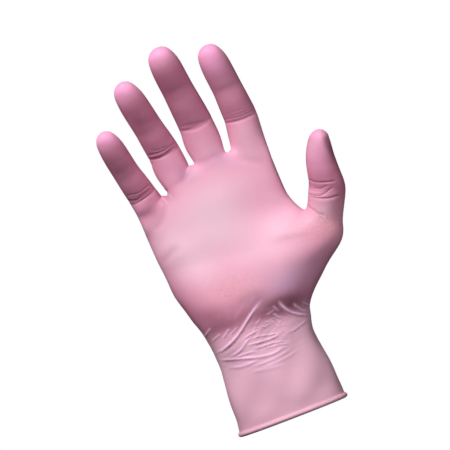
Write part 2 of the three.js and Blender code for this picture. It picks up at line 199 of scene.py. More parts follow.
@dataclass(frozen=True)
class Sizes:
    """The glove's sizes in millimetres, and the shares of them that its net follows.

    Attributes:
        film: The film's thickness.
        bead_rise: How far the rolled rim stands out.
        bead_height: The height of the rolled rim.
        cuff_length: From the rim to the wrist's crease.
        palm_length: From the wrist's crease to the web beside the middle finger.
        palm_width: The width across the palm below the fingers.
        palm_depth: The depth of the palm in its middle.
        thumb_spread: From the middle line to the thumb's outer side.
        thumb_forward: How far the thumb stands forward.
        thumb_tilt: How much lower the ring under the thumb lies on its outer side.
        thumb_web: The height of the thumb's web, as a share of the palm's length.
        web_gap: The width of a web.
        oval: The power of a section's oval, which is 2 for an ellipse.
        column: How far from a digit's middle its two columns of points stand, as a share of
            its width.
        finger_roundness: A finger's depth, as a share of its width.
        thumb_roundness: The thumb's depth, as a share of its width.
    """

    film: float = 1.0
    bead_rise: float = 1.3
    bead_height: float = 3.2
    cuff_length: float = 62.0
    palm_length: float = 107.0
    palm_width: float = 90.0
    palm_depth: float = 28.0
    thumb_spread: float = 77.0
    thumb_forward: float = 12.0
    thumb_tilt: float = 7.0
    thumb_web: float = 0.533
    web_gap: float = 3.4
    oval: float = 2.3
    column: float = 0.29
    finger_roundness: float = 0.92
    thumb_roundness: float = 0.84

    @property
    def half_palm(self) -> float:
        """Half the palm's width."""
        return self.palm_width / 2

    @property
    def web_up(self) -> float:
        """The height of the thumb's web."""
        return self.cuff_length + self.thumb_web * self.palm_length


CUFF_ROWS = (
    CuffRow(0.0, 35.0, 27.0),
    CuffRow(0.3, 33.95, 26.46),
    CuffRow(0.7, 31.59, 23.4),
    CuffRow(0.88, 32.37, 22.5),
)
PALM_ROWS = (
    PalmRow(0.0, 0.37, 0.384, 0.449, 0.77, 0.76),
    PalmRow(0.075, 0.388, 0.456, 0.534, 0.75, 0.7),
    PalmRow(0.145, 0.416, 0.549, 0.642, 0.71, 0.64),
    PalmRow(0.218, 0.439, 0.6, 0.758, 0.67, 0.59),
    PalmRow(0.29, 0.465, 0.6, 0.885, 0.64, 0.56),
    PalmRow(0.364, 0.476, 0.6, 0.925, 0.6, 0.54),
    PalmRow(0.435, 0.481, 0.6, 0.961, 0.57, 0.52),
    PalmRow(0.505, 0.49, 0.6, 1.0, 0.55, 0.51),
    PalmRow(0.54, 0.494, 0.578, 1.0, 0.54, 0.505),
    PalmRow(0.58, 0.497, 0.533, 1.0, 0.53, 0.5),
    PalmRow(0.654, 0.502, 0.508, 1.0, 0.51, 0.5),
    PalmRow(0.73, 0.505, 0.502, 1.0, 0.5, 0.495),
    PalmRow(0.794, 0.508, 0.499, 1.0, 0.48, 0.47),
    PalmRow(0.869, 0.516, 0.498, 1.0, 0.44, 0.415),
    PalmRow(1.0, 0.54, 0.5, 1.0, 0.37, 0.29),
)
MOUNDS = (
    Mound(Side.PALM, 0.75, 0.27, 0.5, 0.22, 0.26),
    Mound(Side.PALM, -0.6, 0.2, 0.4, 0.26, 0.14),
    Mound(Side.PALM, 0.05, 0.5, 0.4, 0.2, -0.09),
    Mound(Side.PALM, 1.1, 0.5, 0.16, 0.1, -0.14),
    Mound(Side.BACK, 1.1, 0.48, 0.2, 0.12, -0.18),
    Mound(Side.PALM, -0.75, 0.84, 0.3, 0.1, -0.03),
    Mound(Side.BACK, -0.8, 0.8, 0.3, 0.14, -0.1),
)
FINGERS = (
    Digit("little", 64.0, 18.3, -0.79, 0.888, (-13, -14, -10.5), (8, 24, 28), (0.2, 0.51)),
    Digit("ring", 80.0, 20.2, -0.33, 0.996, (-3.6, -11.3, -11.8), (6, 24, 26), (0.3075, 0.57)),
    Digit("middle", 84.5, 21.6, 0.19, 0.996, (-0.5, -7, -7), (6, 24, 26), (0.33, 0.63)),
    Digit("index", 77.0, 20.6, 0.742, 0.533, (6, -4.5, -7), (5, 20, 22), (0.323, 0.602)),
)
THUMB = Digit("thumb", 54.0, 23.5, 1.41, 0.475, (25, 6, 18), (14, 14, 18), (0.32, 0.62), 36.0)
FINGER_RINGS = (
    Ring(0.48, 1.05, 1.04, 0.0),
    Ring(0.84, 1.02, 1.0, 0.0),
    Ring(1.0, 1.0, 0.98, 0.05),
    Ring(1.18, 0.99, 0.96, 0.0),
    Ring(1.6, 0.95, 0.92, 0.0),
    Ring(2.0, 0.91, 0.86, 0.03),
    Ring(2.4, 0.9, 0.84, -0.03),
    Ring(2.7, 0.82, 0.74, -0.03),
    Ring(2.91, 0.57, 0.52, 0.0),
)
THUMB_RINGS = (
    Ring(0.6, 0.98, 1.0, 0.0),
    Ring(1.0, 1.0, 1.0, 0.06),
    Ring(1.4, 0.92, 0.93, 0.0),
    Ring(2.0, 0.84, 0.82, -0.02),
    Ring(2.5, 0.72, 0.7, -0.02),
    Ring(2.85, 0.46, 0.47, 0.0),
)
CUFF_RINGS = (0.0, 0.02, 0.06, 0.2, 0.36, 0.5, 0.62, 0.73, 0.83, 0.92)
HEEL_RINGS = (0.0, 0.07, 0.145, 0.225, 0.31, 0.39, 0.46)
UPPER_RINGS = (0.22, 0.42, 0.62, 0.82, 1.0)

LINES = (
    # The wrist on the palm's side, with the long ridge first.
    Line(Side.PALM, 1.5, 0.8, (
        (8.8, 75.6), (3.4, 72.5), (-1.6, 69.3), (-6.1, 66.0), (-11.6, 61.7), (-16.6, 58.5),
        (-21.9, 56.1), (-27.0, 54.6), (-33.5, 54.6),
    )),
    Line(Side.PALM, 1.0, 0.75, (
        (16.6, 71.9), (17.9, 67.2), (20.2, 63.2), (23.4, 60.0), (27.6, 57.6), (33.8, 55.4),
    )),
    Line(Side.PALM, 0.7, 0.6, ((24.4, 66.7), (26.4, 63.0), (29.0, 59.8), (33.8, 57.3))),
    Line(Side.PALM, 0.5, 0.5, ((30.4, 65.5), (32.1, 62.8), (34.3, 61.3))),
    Line(Side.PALM, 0.45, 0.5, ((10.4, 65.8), (12.2, 63.1), (13.7, 61.2), (17.2, 60.0))),
    Line(Side.PALM, 0.35, 0.5, ((11.2, 61.2), (12.7, 58.7), (14.2, 55.0))),
    Line(Side.PALM, 0.35, 0.5, ((12.4, 69.8), (13.4, 67.2), (15.2, 64.4))),
    Line(Side.PALM, 0.55, 0.5, ((-28.0, 70.4), (-31.0, 68.2), (-34.4, 65.8))),
    Line(Side.PALM, 0.45, 0.5, ((-23.4, 64.8), (-26.8, 63.4), (-31.0, 62.0))),
    Line(Side.PALM, 0.6, 0.5, ((-17.2, 66.0), (-20.8, 63.3), (-24.4, 60.8))),
    Line(Side.PALM, 0.4, 0.5, ((-12.0, 65.2), (-15.4, 63.2), (-18.8, 61.8))),
    Line(Side.PALM, 0.8, 0.7, (
        (-5.6, 57.2), (-9.7, 54.9), (-12.3, 53.1), (-15.6, 51.0), (-20.0, 49.6), (-26.5, 48.8),
    )),
    Line(Side.PALM, 0.55, 0.55, ((0.2, 58.6), (-5.4, 57.9), (-8.8, 57.3), (-14.5, 55.6))),
    Line(Side.PALM, 0.9, 0.8, (
        (18.0, 42.4), (9.2, 42.9), (4.4, 41.9), (-0.8, 41.9), (-7.9, 43.1), (-15.9, 45.4),
        (-24.0, 47.6), (-27.9, 48.9), (-33.0, 50.6),
    )),
    Line(Side.PALM, 0.6, 0.7, (
        (-6.0, 46.5), (-10.0, 47.4), (-15.0, 47.6), (-18.7, 47.9), (-24.0, 48.7),
    )),
    Line(Side.PALM, 0.75, 0.65, (
        (13.3, 51.6), (6.0, 51.0), (0.2, 51.0), (-5.9, 51.5), (-12.9, 52.7),
    )),
    Line(Side.PALM, 0.5, 0.55, ((12.9, 51.8), (5.5, 53.1), (0.2, 54.3), (-5.6, 55.3))),
    Line(Side.PALM, 0.6, 0.65, (
        (17.5, 44.2), (6.5, 47.5), (1.6, 48.0), (-3.3, 48.4), (-9.9, 48.8),
    )),
    Line(Side.PALM, 0.45, 0.6, ((17.0, 42.9), (8.3, 45.4), (2.9, 46.2), (-3.0, 46.9))),
    Line(Side.PALM, 0.6, 0.8, (
        (-3.3, 41.9), (-11.8, 41.1), (-17.5, 41.1), (-22.3, 41.9), (-29.5, 44.4),
    )),
    Line(Side.PALM, 0.35, 0.9, ((8.1, 32.6), (-5.2, 34.5), (-15.3, 35.7))),
    Line(Side.PALM, 0.4, 0.7, ((17.0, 41.4), (6.0, 39.2), (-4.0, 38.4), (-15.0, 39.2))),
    Line(Side.PALM, 0.35, 0.7, ((21.0, 39.0), (10.0, 36.8), (-1.0, 35.8), (-9.0, 36.4))),
    Line(Side.PALM, 0.35, 0.7, ((31.0, 54.6), (25.0, 52.2), (19.0, 50.8), (13.0, 50.6))),
    Line(Side.PALM, 0.3, 0.5, ((3.4, 65.0), (-0.1, 63.0), (-2.4, 60.7), (-5.2, 57.6))),
    Line(Side.PALM, 0.3, 0.45, ((11.2, 56.0), (9.6, 59.0), (8.3, 60.4), (5.4, 61.1), (1.2, 60.8))),
    Line(Side.PALM, 0.25, 0.4, ((8.4, 59.4), (4.7, 59.3), (2.0, 58.7))),
    Line(Side.PALM, 0.28, 0.4, ((11.2, 61.7), (7.2, 61.8), (3.0, 61.4))),
    Line(Side.PALM, 0.3, 0.4, ((12.8, 66.9), (10.1, 66.0), (6.2, 65.6))),
    Line(Side.PALM, 0.25, 0.4, ((3.4, 58.5), (1.7, 59.8), (-1.4, 59.0))),
    Line(Side.PALM, 0.12, 1.2, ((4.5, 80.6), (-1.9, 77.7), (-9.0, 73.1), (-13.6, 69.6))),
    Line(Side.PALM, 0.12, 1.0, ((5.5, 79.6), (0.4, 76.8), (-5.0, 72.9))),
    # The palm, with the roots of the fingers and the web beside the little finger.
    Line(Side.PALM, -0.22, 2.2, ((-44.5, 118.6), (-37.9, 120.7), (-33.1, 122.9), (-26.1, 124.0))),
    Line(Side.PALM, 0.1, 2.0, ((27.0, 137.8), (37.6, 132.3), (44.9, 126.9), (51.3, 119.0))),
    Line(Side.PALM, -0.24, 2.2, (
        (-46.0, 138.2), (-37.6, 140.4), (-32.8, 143.4), (-28.5, 149.7), (-25.0, 155.4),
    )),
    Line(Side.PALM, -0.2, 1.8, ((-24.6, 159.6), (-16.6, 160.8), (-9.1, 162.9), (-2.6, 167.3))),
    Line(Side.PALM, -0.2, 1.8, ((-3.0, 170.4), (3.5, 168.1), (11.7, 168.7), (19.0, 168.3))),
    Line(Side.PALM, -0.2, 2.0, ((22.4, 164.8), (28.6, 160.6), (35.0, 156.6), (44.0, 152.6))),
    Line(Side.PALM, 0.3, 0.5, ((-24.3, 159.0), (-22.8, 156.2), (-22.0, 152.8))),
    Line(Side.PALM, 0.25, 0.5, ((-27.5, 157.0), (-26.5, 153.5), (-26.0, 150.0))),
    Line(Side.PALM, -0.35, 0.7, ((-26.0, 155.4), (-24.4, 157.7), (-22.6, 159.9))),
    # The index finger's joints, then the middle, ring and little finger's.
    Line(Side.PALM, -0.1, 0.6, ((23.4, 187.6), (31.8, 186.5), (36.9, 185.9), (45.6, 186.2))),
    Line(Side.PALM, -0.13, 0.7, ((23.4, 185.8), (31.4, 183.7), (36.6, 183.3), (45.8, 184.1))),
    Line(Side.PALM, -0.08, 0.5, ((29.0, 188.6), (34.8, 187.6), (42.0, 187.4))),
    Line(Side.PALM, -0.06, 0.6, ((28.0, 190.4), (34.0, 189.6), (40.0, 189.6))),
    Line(Side.PALM, -0.16, 1.7, ((22.9, 205.4), (30.9, 204.9), (36.3, 205.0), (44.9, 205.5))),
    Line(Side.PALM, -0.12, 0.8, ((-2.4, 193.3), (6.0, 191.9), (12.3, 191.1), (19.6, 190.8))),
    Line(Side.PALM, -0.16, 0.8, ((-2.8, 190.7), (4.7, 188.4), (9.2, 188.2), (17.8, 190.2))),
    Line(Side.PALM, -0.16, 1.8, ((-6.9, 215.6), (1.3, 214.4), (7.4, 214.7), (17.5, 216.2))),
    Line(Side.PALM, -0.24, 0.65, ((-27.2, 183.6), (-19.4, 182.8), (-14.7, 183.1), (-7.0, 185.0))),
    Line(Side.PALM, -0.32, 0.7, ((-29.1, 181.8), (-21.8, 180.0), (-16.4, 180.3), (-8.1, 183.2))),
    Line(Side.PALM, -0.18, 0.5, ((-23.3, 184.9), (-18.1, 184.4), (-12.5, 184.6))),
    Line(Side.PALM, -0.16, 1.7, ((-28.9, 204.4), (-21.1, 202.5), (-16.5, 202.6), (-8.3, 204.7))),
    Line(Side.PALM, 0.12, 0.4, ((-27.8, 223.1), (-24.6, 222.9), (-21.8, 223.9))),
    Line(Side.PALM, 0.1, 0.4, ((-28.8, 224.9), (-25.5, 224.1), (-23.0, 225.0))),
    Line(Side.PALM, -0.18, 0.6, ((-47.9, 165.2), (-41.3, 163.9), (-37.8, 164.3), (-31.3, 166.5))),
    Line(Side.PALM, -0.26, 0.7, ((-50.1, 162.4), (-43.5, 160.6), (-39.6, 161.3), (-31.3, 164.1))),
    Line(Side.PALM, -0.12, 0.5, ((-45.7, 163.0), (-41.2, 162.4), (-36.1, 163.4))),
    Line(Side.PALM, -0.16, 1.6, ((-53.6, 179.6), (-46.6, 179.4), (-42.2, 180.6), (-34.1, 183.8))),
    # The thumb's joint, its root, and on both sides the flat of its tip.
    Line(Side.PALM, -0.4, 0.6, ((60.6, 134.4), (64.4, 131.1), (69.0, 129.1), (76.6, 127.2))),
    Line(Side.PALM, -0.35, 0.55, ((56.6, 126.6), (61.5, 123.4), (65.7, 122.2), (74.2, 124.8))),
    Line(Side.PALM, -0.42, 0.65, ((57.0, 124.9), (62.6, 121.2), (68.4, 118.9), (76.0, 118.4))),
    Line(Side.PALM, -0.2, 0.5, ((62.6, 128.2), (65.8, 126.2), (70.8, 126.7))),
    Line(Side.PALM, -0.35, 0.65, ((54.4, 120.0), (57.1, 115.6), (59.2, 112.4), (62.6, 109.6))),
    Line(Side.PALM, -0.22, 0.55, ((54.6, 118.4), (57.6, 113.4), (60.6, 108.0))),
    *(
        Line(side, -0.7, 3.2, ((80.2, 157.0), (81.6, 152.0), (83.4, 145.5), (88.0, 132.0)))
        for side in (Side.PALM, Side.BACK)
    ),
    # The wrist's back.
    Line(Side.BACK, 1.0, 1.1, (
        (-30.0, 62.0), (-16.0, 57.4), (0.0, 58.6), (15.0, 64.0), (26.0, 71.0),
    )),
    Line(Side.BACK, 0.8, 1.0, ((-31.0, 53.0), (-18.0, 50.6), (-4.0, 52.6), (10.0, 50.4))),
    Line(Side.BACK, 0.7, 0.9, ((30.0, 60.4), (20.0, 56.0), (8.0, 55.6))),
    Line(Side.BACK, 0.6, 0.8, ((-26.0, 72.0), (-19.0, 66.4), (-9.0, 64.0))),
    Line(Side.BACK, 0.7, 1.1, ((31.0, 47.0), (17.0, 44.6), (2.0, 46.0), (-12.0, 43.4))),
    Line(Side.BACK, 0.5, 0.7, ((12.0, 60.4), (3.0, 55.2), (-8.0, 54.8))),
    Line(Side.BACK, 0.5, 0.7, ((-12.0, 49.4), (-22.0, 46.0), (-31.0, 47.4))),
)
WAVES = (Wave(0.45, 5, 0.11, 0.6), Wave(0.3, 8, -0.17, 0.0), Wave(0.25, 3, -0.21, 2.0))
# Most of these are painted light and painted shade: the mauve and dark mauve patches are painted
# shade, the bright pink ones painted light, the pale ones partly painted light, and negative
# amounts take painted shade away.
PATCHES = (
    Patch(Side.PALM, Tint.PALE_AND_PAINTED_LIGHT, 22.0, 106.0, 26.0, 20.0, 20.0, 0.5),
    Patch(Side.PALM, Tint.PALE_AND_PAINTED_LIGHT, 44.0, 117.0, 12.0, 11.0, 0.0, 0.25),
    Patch(Side.PALM, Tint.PALE_AND_PAINTED_LIGHT, 8.0, 148.0, 30.0, 14.0, 0.0, 0.45),
    Patch(Side.PALM, Tint.PALE_AND_PAINTED_LIGHT, -4.0, 129.0, 21.0, 18.0, 0.0, 0.9),
    Patch(Side.PALM, Tint.PALE_AND_PAINTED_LIGHT, -32.0, 127.0, 14.0, 18.0, 0.0, 0.6),
    Patch(Side.PALM, Tint.PALE_AND_PAINTED_LIGHT, -22.0, 107.0, 15.0, 14.0, 0.0, 0.5),
    Patch(Side.PALM, Tint.PALE_AND_PAINTED_LIGHT, 34.0, 169.0, 9.0, 13.0, 0.0, 0.35),
    Patch(Side.PALM, Tint.PALE_AND_PAINTED_LIGHT, 10.0, 172.0, 9.0, 10.0, 0.0, 0.15),
    Patch(Side.PALM, Tint.PALE_AND_PAINTED_LIGHT, 72.0, 151.0, 8.0, 7.0, 0.0, 0.35),
    Patch(Side.PALM, Tint.PALE_AND_PAINTED_LIGHT, 63.0, 113.0, 6.0, 7.0, 0.0, 0.4),
    Patch(Side.PALM, Tint.PEACH, -8.0, 88.0, 22.0, 10.0, -10.0, 0.5),
    Patch(Side.PALM, Tint.PEACH, 66.0, 104.0, 11.0, 10.0, 0.0, 0.6),
    Patch(Side.PALM, Tint.PEACH, 50.0, 104.0, 16.0, 16.0, 0.0, 0.3),
    Patch(Side.PALM, Tint.PAINTED_LIGHT_ROSE, -43.0, 152.0, 4.5, 5.0, 0.0, 0.4),
    Patch(Side.PALM, Tint.PAINTED_LIGHT_ROSE, 72.0, 147.0, 8.0, 9.0, 0.0, 0.45),
    Patch(Side.PALM, Tint.PAINTED_LIGHT_ROSE, 31.0, 221.0, 8.0, 7.0, 0.0, 0.6),
    Patch(Side.PALM, Tint.PEACH, 34.0, 172.0, 9.0, 12.0, 0.0, 0.15),
    Patch(Side.PALM, Tint.LILAC, 24.0, 80.0, 20.0, 9.0, 15.0, 0.65),
    Patch(Side.PALM, Tint.LILAC, -12.0, 124.0, 24.0, 7.0, 30.0, 0.1),
    Patch(Side.PALM, Tint.LILAC, 17.0, 166.0, 6.0, 6.0, 0.0, 0.5),
    Patch(Side.PALM, Tint.LILAC, -7.0, 164.0, 6.0, 6.0, 0.0, 0.5),
    Patch(Side.PALM, Tint.PAINTED_SHADE_AND_SPECKS, 48.0, 78.0, 16.0, 20.0, -40.0, 0.2),
    Patch(Side.PALM, Tint.PAINTED_SHADE_AND_SPECKS, -12.0, 73.0, 26.0, 9.0, -16.0, 0.8),
    Patch(Side.PALM, Tint.PAINTED_SHADE_AND_SPECKS, 24.0, 65.0, 14.0, 7.0, 0.0, 0.7),
    Patch(Side.PALM, Tint.PAINTED_SHADE_AND_SPECKS, -42.0, 98.0, 9.0, 30.0, 0.0, 0.75),
    Patch(Side.PALM, Tint.PAINTED_SHADE_AND_SPECKS, -35.0, 153.0, 7.0, 9.0, -25.0, 0.8),
    Patch(Side.PALM, Tint.PAINTED_SHADE_AND_SPECKS, -35.0, 146.0, 7.0, 6.0, 0.0, 0.35),
    Patch(Side.PALM, Tint.PAINTED_SHADE_AND_SPECKS, 33.0, 210.0, 11.0, 14.0, 0.0, -0.5),
    Patch(Side.PALM, Tint.PAINTED_SHADE_AND_SPECKS, 71.0, 146.0, 8.0, 9.0, 0.0, -0.6),
    Patch(Side.PALM, Tint.PAINTED_SHADE_AND_SPECKS, 78.0, 122.0, 5.0, 12.0, 0.0, 0.7),
    Patch(Side.PALM, Tint.PAINTED_SHADE_AND_SPECKS, -25.0, 156.0, 6.0, 5.0, 0.0, 1.0),
    Patch(Side.PALM, Tint.PAINTED_SHADE_AND_SPECKS, -8.0, 164.0, 6.0, 5.0, 0.0, 0.85),
    Patch(Side.PALM, Tint.PAINTED_DARK_SHADE, -25.0, 76.0, 17.0, 6.0, -24.0, 0.4),
    Patch(Side.PALM, Tint.PAINTED_DARK_SHADE, -22.0, 68.0, 11.0, 4.0, -8.0, 0.5),
    Patch(Side.PALM, Tint.PAINTED_DARK_SHADE, 2.0, 69.0, 14.0, 6.0, 0.0, 0.5),
    Patch(Side.PALM, Tint.PAINTED_DARK_SHADE, 2.0, 78.0, 10.0, 5.0, 0.0, 0.5),
    Patch(Side.PALM, Tint.PAINTED_DARK_SHADE, 16.0, 68.0, 12.0, 6.5, 10.0, 1.0),
    Patch(Side.PALM, Tint.PAINTED_DARK_SHADE, 26.0, 67.0, 8.0, 5.0, 10.0, 0.4),
    Patch(Side.PALM, Tint.PAINTED_DARK_SHADE, -31.0, 66.0, 5.0, 5.0, 0.0, 0.4),
    Patch(Side.PALM, Tint.PAINTED_DARK_SHADE, -45.0, 138.0, 4.0, 4.0, 0.0, 0.4),
    Patch(Side.PALM, Tint.PAINTED_DARK_SHADE, -25.0, 156.0, 5.0, 5.0, 0.0, 0.14),
    Patch(Side.PALM, Tint.PAINTED_DARK_SHADE, -8.0, 164.0, 5.0, 5.0, 0.0, 0.14),
    Patch(Side.PALM, Tint.PAINTED_DARK_SHADE, 18.0, 166.0, 5.0, 5.0, 0.0, 0.1),
    Patch(Side.PALM, Tint.PAINTED_DARK_SHADE, 80.5, 147.0, 2.6, 9.0, 0.0, 0.9),
    Patch(Side.BACK, Tint.PEACH, 0.0, 120.0, 40.0, 34.0, 0.0, 0.3),
    Patch(Side.BACK, Tint.PALE_AND_PAINTED_LIGHT, 10.0, 150.0, 36.0, 14.0, 0.0, 0.4),
)
# How far along a digit each tint lies, and how far up the cuff: (joint or height, amount) pairs.
DIGIT_TINTS = {
    # Painted light on the tips, whose tops face the light.
    Tint.PAINTED_LIGHT_ROSE: ((2.66, 0.0), (2.87, 0.75), (3.0, 1.0)),
    # Painted shade on the phalanges that bend away from the light.
    Tint.PAINTED_SHADE_AND_SPECKS: (
        (0.25, 0.0), (0.9, 0.15), (1.08, 0.7), (1.55, 0.85), (1.9, 0.65), (2.06, 0.85),
        (2.5, 0.9), (2.72, 0.5), (2.88, 0.0),
    ),
}
CUFF_TINTS = {Tint.THIN: ((0.0, 0.35), (40.0, 0.45), (54.0, 0.45), (62.0, 0.25), (68.0, 0.0))}


# The film


@dataclass(frozen=True)
class Curve:
    """A smooth curve through points (up, value)."""

    ups: tuple[float, ...]
    values: tuple[float, ...]

    def slope(self, i: int) -> float:
        """The slope at point i, from its neighbours."""
        low, high = max(i - 1, 0), min(i + 1, len(self.ups) - 1)
        return (self.values[high] - self.values[low]) / (self.ups[high] - self.ups[low])

    def __call__(self, up: float) -> float:
        """Reads the curve.

        Args:
            up: The height.

        Returns:
            The value there.
        """
        i = int(np.clip(np.searchsorted(self.ups, up) - 1, 0, len(self.ups) - 2))
        span = self.ups[i + 1] - self.ups[i]
        t = min(max((up - self.ups[i]) / span, 0.0), 1.0)
        bow = t * (1 - t) * span * ((1 - t) * self.slope(i) - t * self.slope(i + 1))
        return lerp(self.values[i], self.values[i + 1], t * t * (3 - 2 * t)) + bow


class Net:
    """A net of points and four-cornered faces. `along` is 0 on the palm, and a digit's joint."""

    def __init__(self) -> None:
        """Starts an empty net."""
        self.points: list[np.ndarray] = []
        self.along: list[float] = []
        self.faces: list[list[int]] = []
        self.loose: set[int] = set()

    def add(self, point: Sequence[float], along: float = 0.0) -> int:
        """Adds a point.

        Args:
            point: Its place.
            along: Its joint, where it lies on a digit.

        Returns:
            Its number.
        """
        self.points.append(np.array(point, float))
        self.along.append(along)
        return len(self.points) - 1

    def join(self, lower: list[int], upper: list[int]) -> None:
        """Adds faces between two rings.

        Args:
            lower: The lower ring's points.
            upper: As many points of the upper ring.
        """
        count = len(lower)
        for k in range(count):
            after = (k + 1) % count
            self.faces.append([lower[k], lower[after], upper[after], upper[k]])

    def cap(self, ring: list[int], middle: np.ndarray) -> None:
        """Closes a ring with faces round one middle point.

        Args:
            ring: The ring's points.
            middle: The place of the middle point.
        """
        centre = self.add(middle, TIP)
        count = len(ring)
        for k in range(0, count, 2):
            self.faces.append([centre, ring[k], ring[k + 1], ring[(k + 2) % count]])

    def limits(self) -> np.ndarray:
        """The matrix that takes the net's points to where endless subdivision puts them.

        Returns:
            One row per point, with the weights of the points around it.
        """
        count = len(self.points)
        faces = np.array(self.faces)
        weights = np.zeros((count, count))
        uses = np.zeros((count, count))
        # A point with n faces round it counts n * n, each neighbour along an edge 4, which is 2
        # for each of the edge's two faces, and each corner across a face 1. Together they are
        # n * (n + 5). On the open edge a point counts 4 and its two neighbours 1 each.
        for k in range(4):
            here, after, across = faces[:, k], faces[:, (k + 1) % 4], faces[:, (k + 2) % 4]
            np.add.at(weights, (here, after), 2.0)
            np.add.at(weights, (after, here), 2.0)
            np.add.at(weights, (here, across), 1.0)
            np.add.at(uses, (here, after), 1.0)
        around = np.bincount(faces.ravel(), minlength=count).astype(float)
        weights[np.arange(count), np.arange(count)] = around**2
        weights /= (around * (around + 5))[:, None]
        rim = (uses + uses.T) == 1
        for v in np.flatnonzero(rim.any(axis=1)):
            weights[v] = rim[v] / 6.0
            weights[v, v] = 4.0 / 6.0
        return weights

    def fit(self, passes: int) -> None:
        """Moves the points, apart from loose ones, so that the smooth surface meets them.

        Args:
            passes: How often they move by what is still left.
        """
        wanted = np.array(self.points)
        points = wanted.copy()
        firm = np.array([v not in self.loose for v in range(len(wanted))])
        limits = self.limits()
        for _ in range(passes):
            points[firm] += (wanted - limits @ points)[firm]
        self.points = list(points)


@dataclass
class Skin:
    """A fine surface in millimetres: points, unit normals, `along` and faces."""

    points: np.ndarray
    normals: np.ndarray
    along: np.ndarray
    faces: list[tuple[int, ...]]

    def rim(self) -> list[int]:
        """Finds the open edge.

        Returns:
            The numbers of its points by their angle round Z, from the one at the lowest X.
        """
        uses: dict[tuple[int, int], int] = {}
        for face in self.faces:
            for a, b in zip(face, face[1:] + face[:1]):
                key = (min(a, b), max(a, b))
                uses[key] = uses.get(key, 0) + 1
        edge = sorted({v for key, n in uses.items() if n == 1 for v in key})
        angle = np.arctan2(self.points[edge, 1], self.points[edge, 0])
        start = edge[int(np.argmin(self.points[edge, 0]))]
        order = [edge[i] for i in np.argsort(angle)]
        at = order.index(start)
        return order[at:] + order[:at]

    def refined(self, chosen: np.ndarray) -> "Skin":
        """Splits the chosen four-cornered faces in four and lets their neighbours share points.

        Args:
            chosen: For each point, whether the faces round it are split.

        Returns:
            The new surface.
        """
        points, normals, along = list(self.points), list(self.normals), list(self.along)
        middles: dict[tuple[int, int], int] = {}

        def middle(corners: tuple[int, ...]) -> int:
            """Adds a point in the middle of an edge or a face.

            Args:
                corners: The numbers of its corners.

            Returns:
                The new point's number.
            """
            rows = list(corners)
            points.append(self.points[rows].mean(axis=0))
            normal = self.normals[rows].mean(axis=0)
            normals.append(normal / np.linalg.norm(normal))
            along.append(float(self.along[rows].mean()))
            return len(points) - 1

        def edges(face: tuple[int, ...]) -> list[tuple[int, int]]:
            """The edges of a face, each with its lower number first."""
            return [(min(a, b), max(a, b)) for a, b in zip(face, face[1:] + face[:1])]

        split = [len(face) == 4 and bool(chosen[list(face)].all()) for face in self.faces]
        for face, cut in zip(self.faces, split):
            for edge in edges(face) if cut else []:
                if edge not in middles:
                    middles[edge] = middle(edge)
        faces: list[tuple[int, ...]] = []
        for face, cut in zip(self.faces, split):
            halves = [middles.get(edge) for edge in edges(face)]
            if cut:
                centre = middle(face)
                faces += [(face[k], halves[k], centre, halves[k - 1]) for k in range(4)]
            else:
                ring = [v for pair in zip(face, halves) for v in pair if v is not None]
                faces.append(tuple(ring))
        return Skin(np.array(points), np.array(normals), np.array(along), faces)


